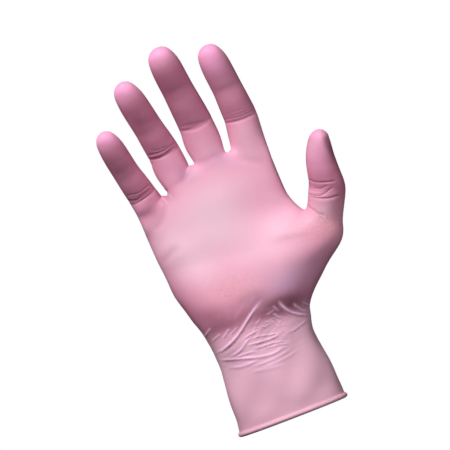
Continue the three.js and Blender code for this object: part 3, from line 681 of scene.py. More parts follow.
@dataclass
class Film:
    """The whole glove: one dipped film, open at its rolled rim.

    Attributes:
        sizes: The glove's sizes.
        outer_levels: How often the outer face is subdivided.
        inner_levels: How often the inner face is subdivided.
        passes: How often the net moves to fit its sections.
        refinements: Where the outer face is split once more: how many half widths round a
            line, and half the width of the widest line that counts.
        forward: Where the film stands forward with the thumb: it starts at this share of half
            the palm's width and is full at this share of the thumb's spread.
        forward_below: How far below the wrist's crease that starts.
        even_to: The share of the cuff up to which a ring's points are spaced evenly.
        settled_below: How far below the thumb's web they stand under the digits, as a share
            of the palm's length.
        tilt_from: The share of half the palm's width where the heel's rings start to tilt.
        knuckles: How high the palm's last ring stands at its two sides, as shares of the
            palm's length.
        below_web: How far it stays below a web, as such a share.
        back_drop: How much lower it is on the back, as such a share.
        web_forward: How far the finger webs stand forward, as a share of the palm's depth.
        ease: How far before and after a joint a digit turns.
        axis_steps: The steps from joint to joint in which a digit's axis is added up.
        twist_end: The joint at which a digit has its whole twist.
        pinch_below: A crease draws in the points whose sine round the digit is below this.
        rim_out: How far the inner rim moves out, as a share of the film.
        bead_power: How full the bead's section is: 1 is a half sine, and less is fuller.
        tuck: How far the bead's lower edge moves in, as a share of the film.
        tuck_height: The share of the bead's height that moves in.
        outline: The curves of the glove's sides and depths, by height.
    """

    sizes: Sizes = field(default_factory=Sizes)
    outer_levels: int = 3
    inner_levels: int = 2
    passes: int = 14
    refinements: tuple[tuple[float, float], ...] = ((2.7, 1.1), (1.4, 0.66))
    forward: tuple[float, float] = (0.6, 0.9)
    forward_below: float = 10.0
    even_to: float = 0.6
    settled_below: float = 0.1
    tilt_from: float = 0.7
    knuckles: tuple[float, float] = (0.8, 0.9)
    below_web: float = 0.05
    back_drop: float = 0.085
    web_forward: float = 0.1
    ease: float = 0.28
    axis_steps: int = 24
    twist_end: float = 1.3
    pinch_below: float = -0.1
    rim_out: float = 0.25
    bead_power: float = 0.7
    tuck: float = 0.3
    tuck_height: float = 0.12
    outline: dict[str, Curve] = field(init=False)

    def __post_init__(self) -> None:
        """Draws the outline's curves from the tables."""
        s = self.sizes
        rows = [(r.up * s.cuff_length, -r.half, r.half, r.half, r.deep, r.deep) for r in CUFF_ROWS]
        rows += [
            (
                s.cuff_length + r.up * s.palm_length,
                -r.little * s.palm_width, r.index * s.palm_width, r.thumb * s.thumb_spread,
                r.palm * s.palm_depth, r.back * s.palm_depth,
            )
            for r in PALM_ROWS
        ]
        ups, *columns = zip(*rows)
        names = ("little", "index", "thumb", "palm", "back")
        self.outline = {name: Curve(ups, column) for name, column in zip(names, columns)}

    # Sections

    def mounds(self, face: int, x: float, z: float) -> float:
        """Adds up the swellings and hollows.

        Args:
            face: -1 for the palm, 1 for the back.
            x: The place across.
            z: The height.

        Returns:
            How far they move the face out.
        """
        s, rise = self.sizes, 0.0
        for m in MOUNDS:
            if m.side.value == face:
                across = (x / s.half_palm - m.across) / m.wide
                up = ((z - s.cuff_length) / s.palm_length - m.up) / m.tall
                rise += m.rise * s.palm_depth * math.exp(-across * across - up * up)
        return rise

    def forward_move(self, x: float, z: float) -> float:
        """How far the film's middle moves where the thumb stands forward.

        Args:
            x: The place across.
            z: The height.

        Returns:
            The move along Y, to the palm's side.
        """
        s = self.sizes
        start, full = self.forward
        over = smoothstep(x, start * s.half_palm, full * s.thumb_spread)
        up = smoothstep(z, s.cuff_length - self.forward_below, s.web_up)
        return float(-s.thumb_forward * over * up)

    def section_point(
        self, face: int, x: float, z: float, right: str
    ) -> tuple[float, float, float]:
        """A point of the cuff or the palm.

        Args:
            face: -1 for the palm, 1 for the back and 0 for the side.
            x: Its place across.
            z: Its height.
            right: The name of the outline's right side, index or thumb.

        Returns:
            The point.
        """
        low, high = self.outline["little"](z), self.outline[right](z)
        share = min(abs((x - (low + high) / 2) / ((high - low) / 2)), 1.0)
        deep = self.outline["palm" if face < 0 else "back"](z)
        oval = self.sizes.oval
        swell = (1 - share**oval) ** (1 / oval) * (deep + self.mounds(face, x, z))
        return x, self.forward_move(x, z) + face * swell, z

    def columns(self, digits: Sequence[Digit]) -> list[float]:
        """Where the digits' two columns each stand across the palm, from the little finger."""
        c, half = self.sizes.column, self.sizes.half_palm
        return [d.across * half + side * c * d.width for d in digits for side in (-1, 1)]

    def web_place(self, left: Digit, right: Digit) -> float:
        """Where the web between two fingers stands across the palm."""
        return (left.across + right.across) * self.sizes.palm_width / 4

    def heel_ring(self, net: Net, z: float) -> list[int]:
        """Adds a ring of the cuff or of the palm below the thumb's web.

        Args:
            net: The net.
            z: The ring's height.

        Returns:
            Its points, from the little finger's side over the palm and round the back.
        """
        s = self.sizes
        places = self.columns([*FINGERS, THUMB])
        low, high = self.outline["little"](z), self.outline["thumb"](z)
        lowest, highest = self.outline["little"](s.web_up), self.outline["thumb"](s.web_up)
        settled = smoothstep(
            z, self.even_to * s.cuff_length, s.web_up - self.settled_below * s.palm_length
        )
        across = []
        for k, x in enumerate(places):
            even = -math.cos(math.pi * (k + 1) / (len(places) + 1))
            placed = (2 * x - lowest - highest) / (highest - lowest)
            across.append(lerp(low, high, (1 + lerp(even, placed, settled)) / 2))
        tilt = s.thumb_tilt * smoothstep(z, s.cuff_length, s.web_up)

        def point(face: int, x: float) -> int:
            """A point of the ring, which turns to stand across the thumb."""
            own = z - tilt * smoothstep(x, self.tilt_from * s.half_palm, s.thumb_spread)
            return net.add(self.section_point(face, x, float(own), "thumb"))

        outer = float(z - tilt)
        first = point(0, low)
        palm = [point(-1, x) for x in across]
        side = net.add(self.section_point(0, self.outline["thumb"](outer), outer, "thumb"))
        back = [point(1, x) for x in across][::-1]
        return [first, *palm, side, *back]

    def knuckles_up(self, face: int, x: float) -> float:
        """The height of the palm's last ring: below the webs, and lower still on the back.

        Args:
            face: -1 for the palm, 1 for the back and 0 for the side.
            x: The place across.

        Returns:
            The height.
        """
        s = self.sizes
        pairs = list(zip(FINGERS, FINGERS[1:]))
        first, last = self.knuckles
        places = (-s.half_palm, *(self.web_place(*pair) for pair in pairs), s.half_palm)
        shares = (first, *(left.up - self.below_web for left, _ in pairs), last)
        drop = self.back_drop if face > 0 else 0.0
        return s.cuff_length + (Curve(places, shares)(x) - drop) * s.palm_length

    def upper_ring(self, net: Net, rise: float, start: float) -> list[int]:
        """Adds a ring of the palm above the thumb's web.

        Args:
            net: The net.
            rise: Its share of the way to the palm's last ring.
            start: The height of the last ring below the web.

        Returns:
            Its points, from the little finger's side over the palm and round the back.
        """
        s = self.sizes
        places = self.columns(FINGERS)

        def point(face: int, x: float) -> int:
            """A point on the palm or on the back."""
            z = lerp(start, self.knuckles_up(face, x), rise)
            return net.add(self.section_point(face, x, z, "index"))

        def side(key: str, x: float, low: float) -> int:
            """A point on one of the outline's two sides."""
            z = lerp(low, self.knuckles_up(0, x), rise)
            return net.add(self.section_point(0, self.outline[key](z), z, "index"))

        left = side("little", -s.half_palm, start)
        palm = [point(-1, x) for x in places]
        right = side("index", s.half_palm, s.web_up)
        return [left, *palm, right, *[point(1, x) for x in places][::-1]]

    def add_web(
        self, net: Net, web: np.ndarray, palm: Sequence[int], back: Sequence[int]
    ) -> list[int]:
        """Joins two digits' sides over the web between them.

        Args:
            net: The net.
            web: The middle of the web.
            palm: The two points below it on the palm.
            back: The two points below it on the back.

        Returns:
            The web's own two points.
        """
        half = np.array([self.sizes.web_gap / 2, 0, 0])
        left, right = net.add(web - half), net.add(web + half)
        net.faces.append([palm[0], palm[1], right, left])
        net.faces.append([back[1], back[0], left, right])
        return [left, right]

    def phalanx_value(self, values: Sequence[float], joint: float) -> float:
        """Reads a list with one value for each phalanx.

        Args:
            values: The values.
            joint: Where to read them.

        Returns:
            The value there, eased from one phalanx to the next.
        """
        steps = (
            (values[k + 1] - values[k]) * smoothstep(joint, k + 1 - self.ease, k + 1 + self.ease)
            for k in range(len(values) - 1)
        )
        return float(values[0] + sum(steps))

    def axis_of(self, digit: Digit, start: np.ndarray) -> Callable[[float], tuple[np.ndarray, ...]]:
        """A digit's axis.

        Args:
            digit: The digit.
            start: Its root.

        Returns:
            A function that gives, at a joint, the place, the heading and the way across.
        """
        knots = (0.0, *digit.joints, 1.0)

        def far(joint: float) -> float:
            """The length from the root to a joint."""
            k = min(int(joint), len(digit.joints))
            return digit.length * lerp(knots[k], knots[k + 1], joint - k)

        def heading(joint: float) -> np.ndarray:
            """The way that the digit points.

            Args:
                joint: Where on the digit.

            Returns:
                The way, of length 1.
            """
            lean = math.radians(self.phalanx_value(digit.lean, joint))
            bend = math.radians(self.phalanx_value(digit.bend, joint))
            return np.array([
                math.sin(lean) * math.cos(bend), -math.sin(bend), math.cos(lean) * math.cos(bend),
            ])

        def at(joint: float) -> tuple[np.ndarray, np.ndarray, np.ndarray]:
            """Follows the axis to a joint.

            Args:
                joint: Where on the digit.

            Returns:
                The place, the heading and the way across.
            """
            steps = np.linspace(0.0, joint, max(int(self.axis_steps * joint), 2) + 1)
            place = start + sum(
                heading((a + b) / 2) * (far(b) - far(a)) for a, b in zip(steps, steps[1:])
            )
            ahead = heading(joint)
            across = np.array([1.0, 0.0, 0.0]) - ahead * ahead[0]
            across /= np.linalg.norm(across)
            turn = -math.radians(digit.twist) * float(smoothstep(joint, 0.0, self.twist_end))
            across = across * math.cos(turn) + np.cross(ahead, across) * math.sin(turn)
            return place, ahead, across

        return at

    def add_digit(
        self,
        net: Net,
        digit: Digit,
        root: list[int],
        start: np.ndarray,
        rings: Sequence[Ring],
        roundness: float,
    ) -> None:
        """Adds a digit's rings and tip on the ring that its root stands on.

        Args:
            net: The net.
            digit: The digit.
            root: The ring of points that it stands on.
            start: Its root's middle.
            rings: The digit's rings.
            roundness: Its depth as a share of its width.
        """
        axis = self.axis_of(digit, start)
        below, count = root, len(root)
        for row in rings:
            place, ahead, across = axis(row.joint)
            back = np.cross(ahead, across)
            ring = []
            for k in range(count):
                angle = math.pi + 2 * math.pi * k / count
                c, s = math.cos(angle), math.sin(angle)
                pinch = 1 - row.pinch if s < self.pinch_below else 1.0
                wide = 0.5 * digit.width * row.width * c
                deep = 0.5 * digit.width * roundness * row.depth * s * pinch
                ring.append(net.add(place + across * wide + back * deep, row.joint))
            net.join(below, ring)
            below = ring
        net.cap(below, axis(TIP)[0])

    def net(self) -> Net:
        """Builds the net of the whole glove.

        Returns:
            The net, fitted to its sections.
        """
        s, net = self.sizes, Net()
        heights = [share * s.cuff_length for share in CUFF_RINGS]
        heights += [s.cuff_length + share * s.palm_length for share in HEEL_RINGS]
        ring: list[int] = []
        for z in heights:
            above = self.heel_ring(net, z)
            if ring:
                net.join(ring, above)
            ring = above

        # The thumb leaves the palm: both keep their own part of the last ring and share a web.
        four = 2 * len(FINGERS)
        palm, thumb_palm, outer = ring[1 : 1 + four], ring[1 + four : 3 + four], ring[3 + four]
        thumb_back, back = ring[4 + four : 6 + four], ring[6 + four :]
        start = heights[-1]
        web_x = self.outline["index"](s.web_up)
        web = np.array([web_x, self.forward_move(web_x, s.web_up), s.web_up])
        palm_side, thumb_side = self.add_web(
            net, web, (palm[-1], thumb_palm[0]), (back[0], thumb_back[-1])
        )
        thumb_x = THUMB.across * s.half_palm
        thumb_start = np.array([thumb_x, self.forward_move(thumb_x, start), start])
        thumb_root = [thumb_side, *thumb_palm, outer, *thumb_back]
        self.add_digit(net, THUMB, thumb_root, thumb_start, THUMB_RINGS, s.thumb_roundness)

        below = [ring[0], *palm, palm_side, *back]
        for rise in UPPER_RINGS:
            above = self.upper_ring(net, rise, start)
            net.join(below, above)
            below = above

        # The fingers part at their webs.
        palm_edge, back_edge = below[1 : 1 + four], below[2 + four :][::-1]
        net.loose |= {*palm_edge, *back_edge, *thumb_palm, *thumb_back}
        sides = [below[0]]
        for k, (left, right) in enumerate(zip(FINGERS, FINGERS[1:])):
            pair = slice(2 * k + 1, 2 * k + 3)
            up = s.cuff_length + left.up * s.palm_length
            middle = np.array([self.web_place(left, right), -self.web_forward * s.palm_depth, up])
            sides += self.add_web(net, middle, palm_edge[pair], back_edge[pair])
        sides.append(below[1 + four])
        for k, finger in enumerate(FINGERS):
            own = slice(2 * k, 2 * k + 2)
            root = [sides[2 * k], *palm_edge[own], sides[2 * k + 1], *back_edge[own][::-1]]
            x = finger.across * s.half_palm
            base = np.array([x, 0.0, self.knuckles_up(0, x)])
            self.add_digit(net, finger, root, base, FINGER_RINGS, s.finger_roundness)
        net.fit(self.passes)
        return net

    # Surfaces

    @staticmethod
    def skin(net: Net, levels: int) -> Skin:
        """The smooth surface of a net.

        Args:
            net: The net.
            levels: How often it is subdivided.

        Returns:
            The surface.
        """
        mesh = bpy.data.meshes.new("net")
        mesh.from_pydata([tuple(p) for p in net.points], [], net.faces)
        mesh.attributes.new("along", "FLOAT", "POINT").data.foreach_set("value", net.along)
        shape = bpy.data.objects.new("net", mesh)
        bpy.context.scene.collection.objects.link(shape)
        smooth = shape.modifiers.new("smooth", "SUBSURF")
        smooth.levels = smooth.render_levels = levels
        smooth.boundary_smooth = "ALL"
        smooth.use_limit_surface = True
        fine = shape.evaluated_get(bpy.context.evaluated_depsgraph_get()).to_mesh()
        count = len(fine.vertices)
        points, normals = np.empty(count * 3), np.empty(count * 3)
        along = np.empty(count)
        fine.vertices.foreach_get("co", points)
        fine.vertex_normals.foreach_get("vector", normals)
        fine.attributes["along"].data.foreach_get("value", along)
        faces = [tuple(polygon.vertices) for polygon in fine.polygons]
        bpy.data.objects.remove(shape)
        return Skin(points.reshape(-1, 3), normals.reshape(-1, 3), along, faces)

    def build(self) -> bpy.types.Object:
        """Builds the film with its folds, creases, tints and rolled rim.

        Returns:
            The glove's object, still without a material.
        """
        net = self.net()
        relief = Relief()
        outer, inner = self.skin(net, self.outer_levels), self.skin(net, self.inner_levels)
        for reach, widest in self.refinements:
            outer = outer.refined(relief.near(outer, reach, widest))
        shape, marks = relief.shape(outer)
        inside, _ = relief.shape(inner)
        outer_points = self.rolled(outer, outer.points + outer.normals * shape[:, None])
        inner_points = inner.points + inner.normals * (inside - self.sizes.film)[:, None]

        # The two faces meet at the rim, where the outer one has twice as many points.
        count = len(outer_points)
        faces = list(outer.faces) + [tuple(count + v for v in face[::-1]) for face in inner.faces]
        outer_rim, inner_rim = outer.rim(), inner.rim()
        for v in inner_rim:
            flat = inner.normals[v] * (1, 1, 0)
            inner_points[v] += self.rim_out * self.sizes.film * flat
            inner_points[v, 2] = 0.0
        each = len(outer_rim) // len(inner_rim)
        for k, v in enumerate(inner_rim):
            after = inner_rim[(k + 1) % len(inner_rim)]
            edge = [outer_rim[(k * each + i) % len(outer_rim)] for i in range(each + 1)]
            faces.append((*edge[::-1], count + v, count + after))

        mesh = bpy.data.meshes.new("glove_film")
        points = np.concatenate([outer_points, inner_points]) * MM
        mesh.from_pydata([tuple(p) for p in points], [], faces)
        for name, values in marks.items():
            both = np.concatenate([values, np.zeros(len(inner_points))])
            mesh.attributes.new(name, "FLOAT", "POINT").data.foreach_set("value", both)
        mesh.polygons.foreach_set("use_smooth", [True] * len(mesh.polygons))
        mesh.validate()
        glove = bpy.data.objects.new("glove_film", mesh)
        bpy.context.scene.collection.objects.link(glove)
        return glove

    def rolled(self, skin: Skin, points: np.ndarray) -> np.ndarray:
        """Rolls the rim outwards into its bead.

        Args:
            skin: The outer face.
            points: Its points, with their relief.

        Returns:
            The points, with the bead.
        """
        s = self.sizes
        share = np.clip(skin.points[:, 2] / s.bead_height, 0.0, 1.0)
        bulge = s.bead_rise * np.sin(math.pi * share) ** self.bead_power
        flat = skin.normals * (1, 1, 0)
        tuck = self.tuck * s.film * (1 - smoothstep(share, 0.0, self.tuck_height))
        return points + flat * (bulge - tuck)[:, None]


@dataclass
class Relief:
    """Ridges, grooves and tints of the film, worked out for every point of a surface, with painted
    highlight on the ridges and painted shade in the grooves and in the dips beside the ridges.

    Attributes:
        steps: The points of a smooth line for each of the table's.
        reach: How many half widths from a line its relief goes.
        flank: How many half widths from a line its two flanks lie.
        whole: The normal along Y from which a line has its whole height.
        taper: The share of a line over which each of its ends fades.
        crease_taper: The same for a narrow groove.
        ridge_share: How much of its rise a ridge has.
        valleys: How deep the film dips below and above a ridge.
        lips: How far the film rises beside a groove.
        crest_power: How broad a ridge's painted highlight is: less is broader.
        ridge_highlight_tint: How much painted highlight a ridge has for each millimetre of rise.
        valley_shade_tint: How much painted shade the dips beside a ridge have for each millimetre
            of rise.
        groove_shade_tint: How much painted shade a groove has for each millimetre of depth.
        slack: The heights between which the slow waves fade out at the wrist.
        above_rim: The heights between which they start above the rim.
        crumple_rise: The height of the crumpling.
        crumple_middle: The middle of the crumpled patch on the palm's side.
        crumple_size: That patch's radii.
        crumple_front: How far the normal turns to the palm's side for all of it.
        band_up: The height of the crumpled band round the wrist.
        band_size: Half that band's height.
        band_share: How much the band is crumpled.
        least: Where the film is crumpled less than this, it gets no small ridges.
        grain: How close the small ridges are, across and upwards.
        grain_lean: How far height leans them across, and place across leans them upwards.
        grain_shares: The shares of the wide ones and of the narrow ones between them.
        grain_step: How much closer the narrow ones are.
        back_painted_shade: How much of the painted shade along a digit is left on its back.
        painted_shade_turn: The normals to the palm's side between which that painted shade comes
            in.
        facing: The normal from which a patch has its whole tint.
        lines: The table's lines with their smooth points.
    """

    steps: int = 6
    reach: float = 6.0
    flank: float = 2.1
    whole: float = 0.2
    taper: float = 0.3
    crease_taper: float = 0.12
    ridge_share: float = 0.5
    valleys: tuple[float, float] = (0.4, 0.1)
    lips: float = 0.3
    crest_power: float = 0.6
    ridge_highlight_tint: float = 1.2
    valley_shade_tint: float = 1.5
    groove_shade_tint: float = 1.6
    slack: tuple[float, float] = (46.0, 66.0)
    above_rim: tuple[float, float] = (2.0, 14.0)
    crumple_rise: float = 0.25
    crumple_middle: tuple[float, float] = (4.0, 57.0)
    crumple_size: tuple[float, float] = (13.0, 9.0)
    crumple_front: float = 0.4
    band_up: float = 54.0
    band_size: float = 14.0
    band_share: float = 0.25
    least: float = 0.02
    grain: tuple[float, float] = (0.16, 0.3)
    grain_lean: tuple[float, float] = (0.1, -0.12)
    grain_shares: tuple[float, float] = (2.4, 1.2)
    grain_step: float = 2.1
    back_painted_shade: float = 0.4
    painted_shade_turn: tuple[float, float] = (-0.6, 0.2)
    facing: float = 0.3
    lines: list[tuple[Line, np.ndarray]] = field(init=False)

    def __post_init__(self) -> None:
        """Draws the lines of the table."""
        self.lines = [(row, self.smooth(row.points)) for row in LINES]

    def smooth(self, points: Sequence[Sequence[float]]) -> np.ndarray:
        """Draws a smooth curve through a few points.

        Args:
            points: The points.

        Returns:
            Closely spaced points on the curve.
        """
        rows = np.array(points, float)
        padded = np.vstack([2 * rows[0] - rows[1], rows, 2 * rows[-1] - rows[-2]])
        out = []
        for a, b, c, d in zip(padded, padded[1:], padded[2:], padded[3:]):
            for t in np.linspace(0, 1, self.steps, endpoint=False):
                square = (2 * a - 5 * b + 4 * c - d) * t * t
                out.append(0.5 * (2 * b + (c - a) * t + square + (3 * b - a - 3 * c + d) * t**3))
        return np.array([*out, rows[-1]])

    @staticmethod
    def measure(line: np.ndarray, x: np.ndarray, z: np.ndarray) -> tuple[np.ndarray, np.ndarray]:
        """Where points lie from a line.

        Args:
            line: The line's points.
            x: The points' places across.
            z: Their heights.

        Returns:
            How far each lies below the line, less than 0 above it, and its share along it.
        """
        best = np.full(len(x), np.inf)
        below, share = np.zeros(len(x)), np.zeros(len(x))
        turn = math.copysign(1.0, line[0, 0] - line[-1, 0])
        for i, (a, b) in enumerate(zip(line, line[1:])):
            ab = b - a
            t = np.clip(((x - a[0]) * ab[0] + (z - a[1]) * ab[1]) / (ab @ ab), 0, 1)
            dx, dz = x - a[0] - t * ab[0], z - a[1] - t * ab[1]
            away = np.hypot(dx, dz)
            near = away < best
            best[near] = away[near]
            below[near] = (turn * away * np.sign(ab[0] * dz - ab[1] * dx))[near]
            share[near] = ((i + t) / (len(line) - 1))[near]
        return below, share

    @staticmethod
    def around(skin: Skin, side: Side, line: np.ndarray, reach: float) -> np.ndarray:
        """Finds the points in the box round a line.

        Args:
            skin: The surface.
            side: The side that the line lies on.
            line: The line's points.
            reach: How far the box goes past them.

        Returns:
            The numbers of the surface's points.
        """
        x, z = skin.points[:, 0], skin.points[:, 2]
        (low_x, low_z), (high_x, high_z) = line.min(axis=0) - reach, line.max(axis=0) + reach
        inside = (x > low_x) & (x < high_x) & (z > low_z) & (z < high_z)
        return np.flatnonzero(inside & (skin.normals[:, 1] * side.value > WRAP))

    def near(self, skin: Skin, reach: float, widest: float = math.inf) -> np.ndarray:
        """Marks the points near lines.

        Args:
            skin: The surface.
            reach: How many half widths away a point may lie.
            widest: Half the width of the widest line that counts.

        Returns:
            For each point, whether it is near.
        """
        chosen = np.zeros(len(skin.points), bool)
        x, z = skin.points[:, 0], skin.points[:, 2]
        for row, line in self.lines:
            if row.half <= widest:
                rows = self.around(skin, row.side, line, reach * row.half)
                away, _ = self.measure(line, x[rows], z[rows])
                chosen[rows] |= np.abs(away) < reach * row.half
        return chosen

    def shape(self, skin: Skin) -> tuple[np.ndarray, dict[str, np.ndarray]]:
        """The relief of a surface.

        Args:
            skin: The surface.

        Returns:
            How far each point moves out along its normal, and the values of its marks.
        """
        x, z = skin.points[:, 0], skin.points[:, 2]
        rise = self.waves(skin)
        ridge, groove = np.zeros(len(x)), np.zeros(len(x))
        for row, line in self.lines:
            rows = self.around(skin, row.side, line, self.reach * row.half)
            below, share = self.measure(line, x[rows], z[rows])
            taper = self.crease_taper if row.is_crease else self.taper
            fade = smoothstep(share, 0.0, taper) * (1 - smoothstep(share, 1 - taper, 1.0))
            fade *= smoothstep(skin.normals[rows, 1] * row.side.value, WRAP, self.whole)
            crest = fade * np.exp(-((below / row.half) ** 2))
            flank = fade * np.exp(-((np.abs(below) / row.half - self.flank) ** 2))
            if row.rise > 0:
                valley = np.where(below > 0, *self.valleys) * flank
                rise[rows] += self.ridge_share * row.rise * (crest - valley)
                # Painted highlight along the ridge's crest.
                painted_highlight = crest**self.crest_power * min(self.ridge_highlight_tint * row.rise, 1.0)
                ridge[rows] = np.maximum(ridge[rows], painted_highlight)
                # Painted shade in the dips beside the ridge.
                painted_shade = valley * min(self.valley_shade_tint * row.rise, 1.0)
            else:
                rise[rows] += row.rise * (crest - self.lips * flank)
                # Painted shade in the groove.
                painted_shade = crest * min(-self.groove_shade_tint * row.rise, 1.0)
            groove[rows] = np.maximum(groove[rows], painted_shade)
        crumple = self.crumple(skin)
        rise += self.crumple_rise * crumple * self.ridged(skin, crumple)
        # The ridge mark is painted highlight and the groove mark is painted shade.
        marks = {"ridge": ridge, "groove": groove, "crumple": crumple}
        marks |= {tint.value: self.tint(skin, tint) for tint in Tint}
        return rise, marks

    def waves(self, skin: Skin) -> np.ndarray:
        """Slow waves of the loose film below the wrist.

        Args:
            skin: The surface.

        Returns:
            How far they move each point out.
        """
        x, y, z = skin.points.T
        around = np.arctan2(y, x)
        loose = 1 - smoothstep(z, *self.slack)
        waves = sum(w.height * np.sin(w.turns * around + w.slant * z + w.start) for w in WAVES)
        return loose * smoothstep(z, *self.above_rim) * waves

    def crumple(self, skin: Skin) -> np.ndarray:
        """How much the film is crumpled: the wrist, most of all on its palm's side.

        Args:
            skin: The surface.

        Returns:
            The crumpling of each point, from 0 to 1.
        """
        x, z = skin.points[:, 0], skin.points[:, 2]
        (at_x, at_z), (wide, tall) = self.crumple_middle, self.crumple_size
        front = smoothstep(-skin.normals[:, 1], 0.0, self.crumple_front)
        middle = np.exp(-(((x - at_x) / wide) ** 2) - ((z - at_z) / tall) ** 2)
        around = np.exp(-(((z - self.band_up) / self.band_size) ** 2))
        return np.clip(front * middle + self.band_share * around, 0.0, 1.0)

    def ridged(self, skin: Skin, where: np.ndarray) -> np.ndarray:
        """Small sharp ridges that run down and to the little finger's side.

        Args:
            skin: The surface.
            where: How much each point is crumpled.

        Returns:
            Their height at each point, from about -1 to 1.
        """
        out = np.zeros(len(where))
        (across, upwards), (lean_x, lean_z) = self.grain, self.grain_lean
        wide, narrow = self.grain_shares
        for v in np.flatnonzero(where > self.least):
            x, y, z = skin.points[v]
            place = Vector((across * x + lean_x * z, across * y, upwards * z + lean_z * x))
            between = noise.noise(place * self.grain_step)
            out[v] = 1 - wide * abs(noise.noise(place)) - narrow * abs(between)
        return out

    def tint(self, skin: Skin, tint: Tint) -> np.ndarray:
        """Adds up a tint's places.

        Args:
            skin: The surface.
            tint: The tint.

        Returns:
            How much of it each point has, from 0 to 1.
        """
        x, z = skin.points[:, 0], skin.points[:, 2]
        out = np.zeros(len(x))
        for table, places in ((DIGIT_TINTS, skin.along), (CUFF_TINTS, z)):
            if tint in table:
                stops, amounts = zip(*table[tint])
                out += np.interp(places, stops, amounts)
        # Less of the painted shade on the back of a digit.
        if tint is Tint.PAINTED_SHADE_AND_SPECKS:
            out *= lerp(self.back_painted_shade, 1.0, smoothstep(-skin.normals[:, 1], *self.painted_shade_turn))
        for patch in PATCHES:
            if patch.tint is tint:
                turn = math.radians(patch.turn)
                dx, dz = x - patch.x, z - patch.z
                across = (dx * math.cos(turn) + dz * math.sin(turn)) / patch.wide
                up = (dz * math.cos(turn) - dx * math.sin(turn)) / patch.tall
                facing = smoothstep(skin.normals[:, 1] * patch.side.value, 0.0, self.facing)
                out += patch.amount * facing * np.exp(-across * across - up * up)
        return np.clip(out, 0.0, 1.0)


# Finish


@dataclass
class Wire:
    """A socket of a material's nodes, for maths written as plain expressions."""

    shader: "Shader"
    socket: bpy.types.NodeSocket | None

    def math(self, operation: str, *values: "Wire | float") -> "Wire":
        """A Math node on this socket and other values."""
        return self.shader.node("ShaderNodeMath", {"operation": operation}, dict(enumerate(values)))

    def __add__(self, other: "Wire | float") -> "Wire":
        """This value plus another."""
        return self.math("ADD", self, other)

    def __radd__(self, other: float) -> "Wire":
        """A number plus this value."""
        return self.math("ADD", other, self)

    def __sub__(self, other: "Wire | float") -> "Wire":
        """This value less another."""
        return self.math("SUBTRACT", self, other)

    def __rsub__(self, other: float) -> "Wire":
        """A number less this value."""
        return self.math("SUBTRACT", other, self)

    def __mul__(self, other: "Wire | float") -> "Wire":
        """This value times another."""
        return self.math("MULTIPLY", self, other)

    def __rmul__(self, other: float) -> "Wire":
        """A number times this value."""
        return self.math("MULTIPLY", other, self)


@dataclass
class Shader:
    """A material under construction: its nodes come from one method."""

    material: bpy.types.Material

    def node(self, kind: str, settings: dict, inputs: dict, output: int | str = 0) -> Wire:
        """Adds a node.

        Args:
            kind: The node's type.
            settings: Its own settings, set first.
            inputs: Values or wires for its sockets, by name or number.
            output: The output that is wanted.

        Returns:
            A wire from that output, or an empty one from a node that has none.
        """
        node = self.material.node_tree.nodes.new(kind)
        for name, value in settings.items():
            setattr(node, name, value)
        for key, value in inputs.items():
            socket = node.inputs[key]
            if isinstance(value, Wire):
                self.material.node_tree.links.new(value.socket, socket)
            else:
                socket.default_value = value
        return Wire(self, node.outputs[output] if node.outputs else None)

    def mix(self, share: Wire | float, first: Wire | tuple, second: Wire | tuple) -> Wire:
        """Mixes two colours.

        Args:
            share: How much of the second one shows.
            first: The first colour.
            second: The second colour.

        Returns:
            A wire with the mix.
        """
        return self.node(
            "ShaderNodeMix", {"data_type": "RGBA"}, {0: share, 6: first, 7: second}, 2
        )

    def value(self, name: str) -> Wire:
        """An attribute of the mesh as a number."""
        return self.node("ShaderNodeAttribute", {"attribute_name": name}, {}, "Fac")


def linear(*rgb: int) -> tuple[float, float, float, float]:
    """A colour from 0 to 255 as the shader reads it."""
    shares = (v / 255 for v in rgb)
    return (*(v / 12.92 if v < 0.04045 else ((v + 0.055) / 1.055) ** 2.4 for v in shares), 1.0)


class Layer(NamedTuple):
    """A tint of the film: its colour, how much of it is even and how much comes in clouds."""

    tint: Tint
    colour: tuple[float, ...]
    even: float
    cloudy: float


class Grain(NamedTuple):
    """A noise over the film: its scale for each metre, its detail and its roughness."""

    scale: float
    detail: float
    rough: float = 0.55


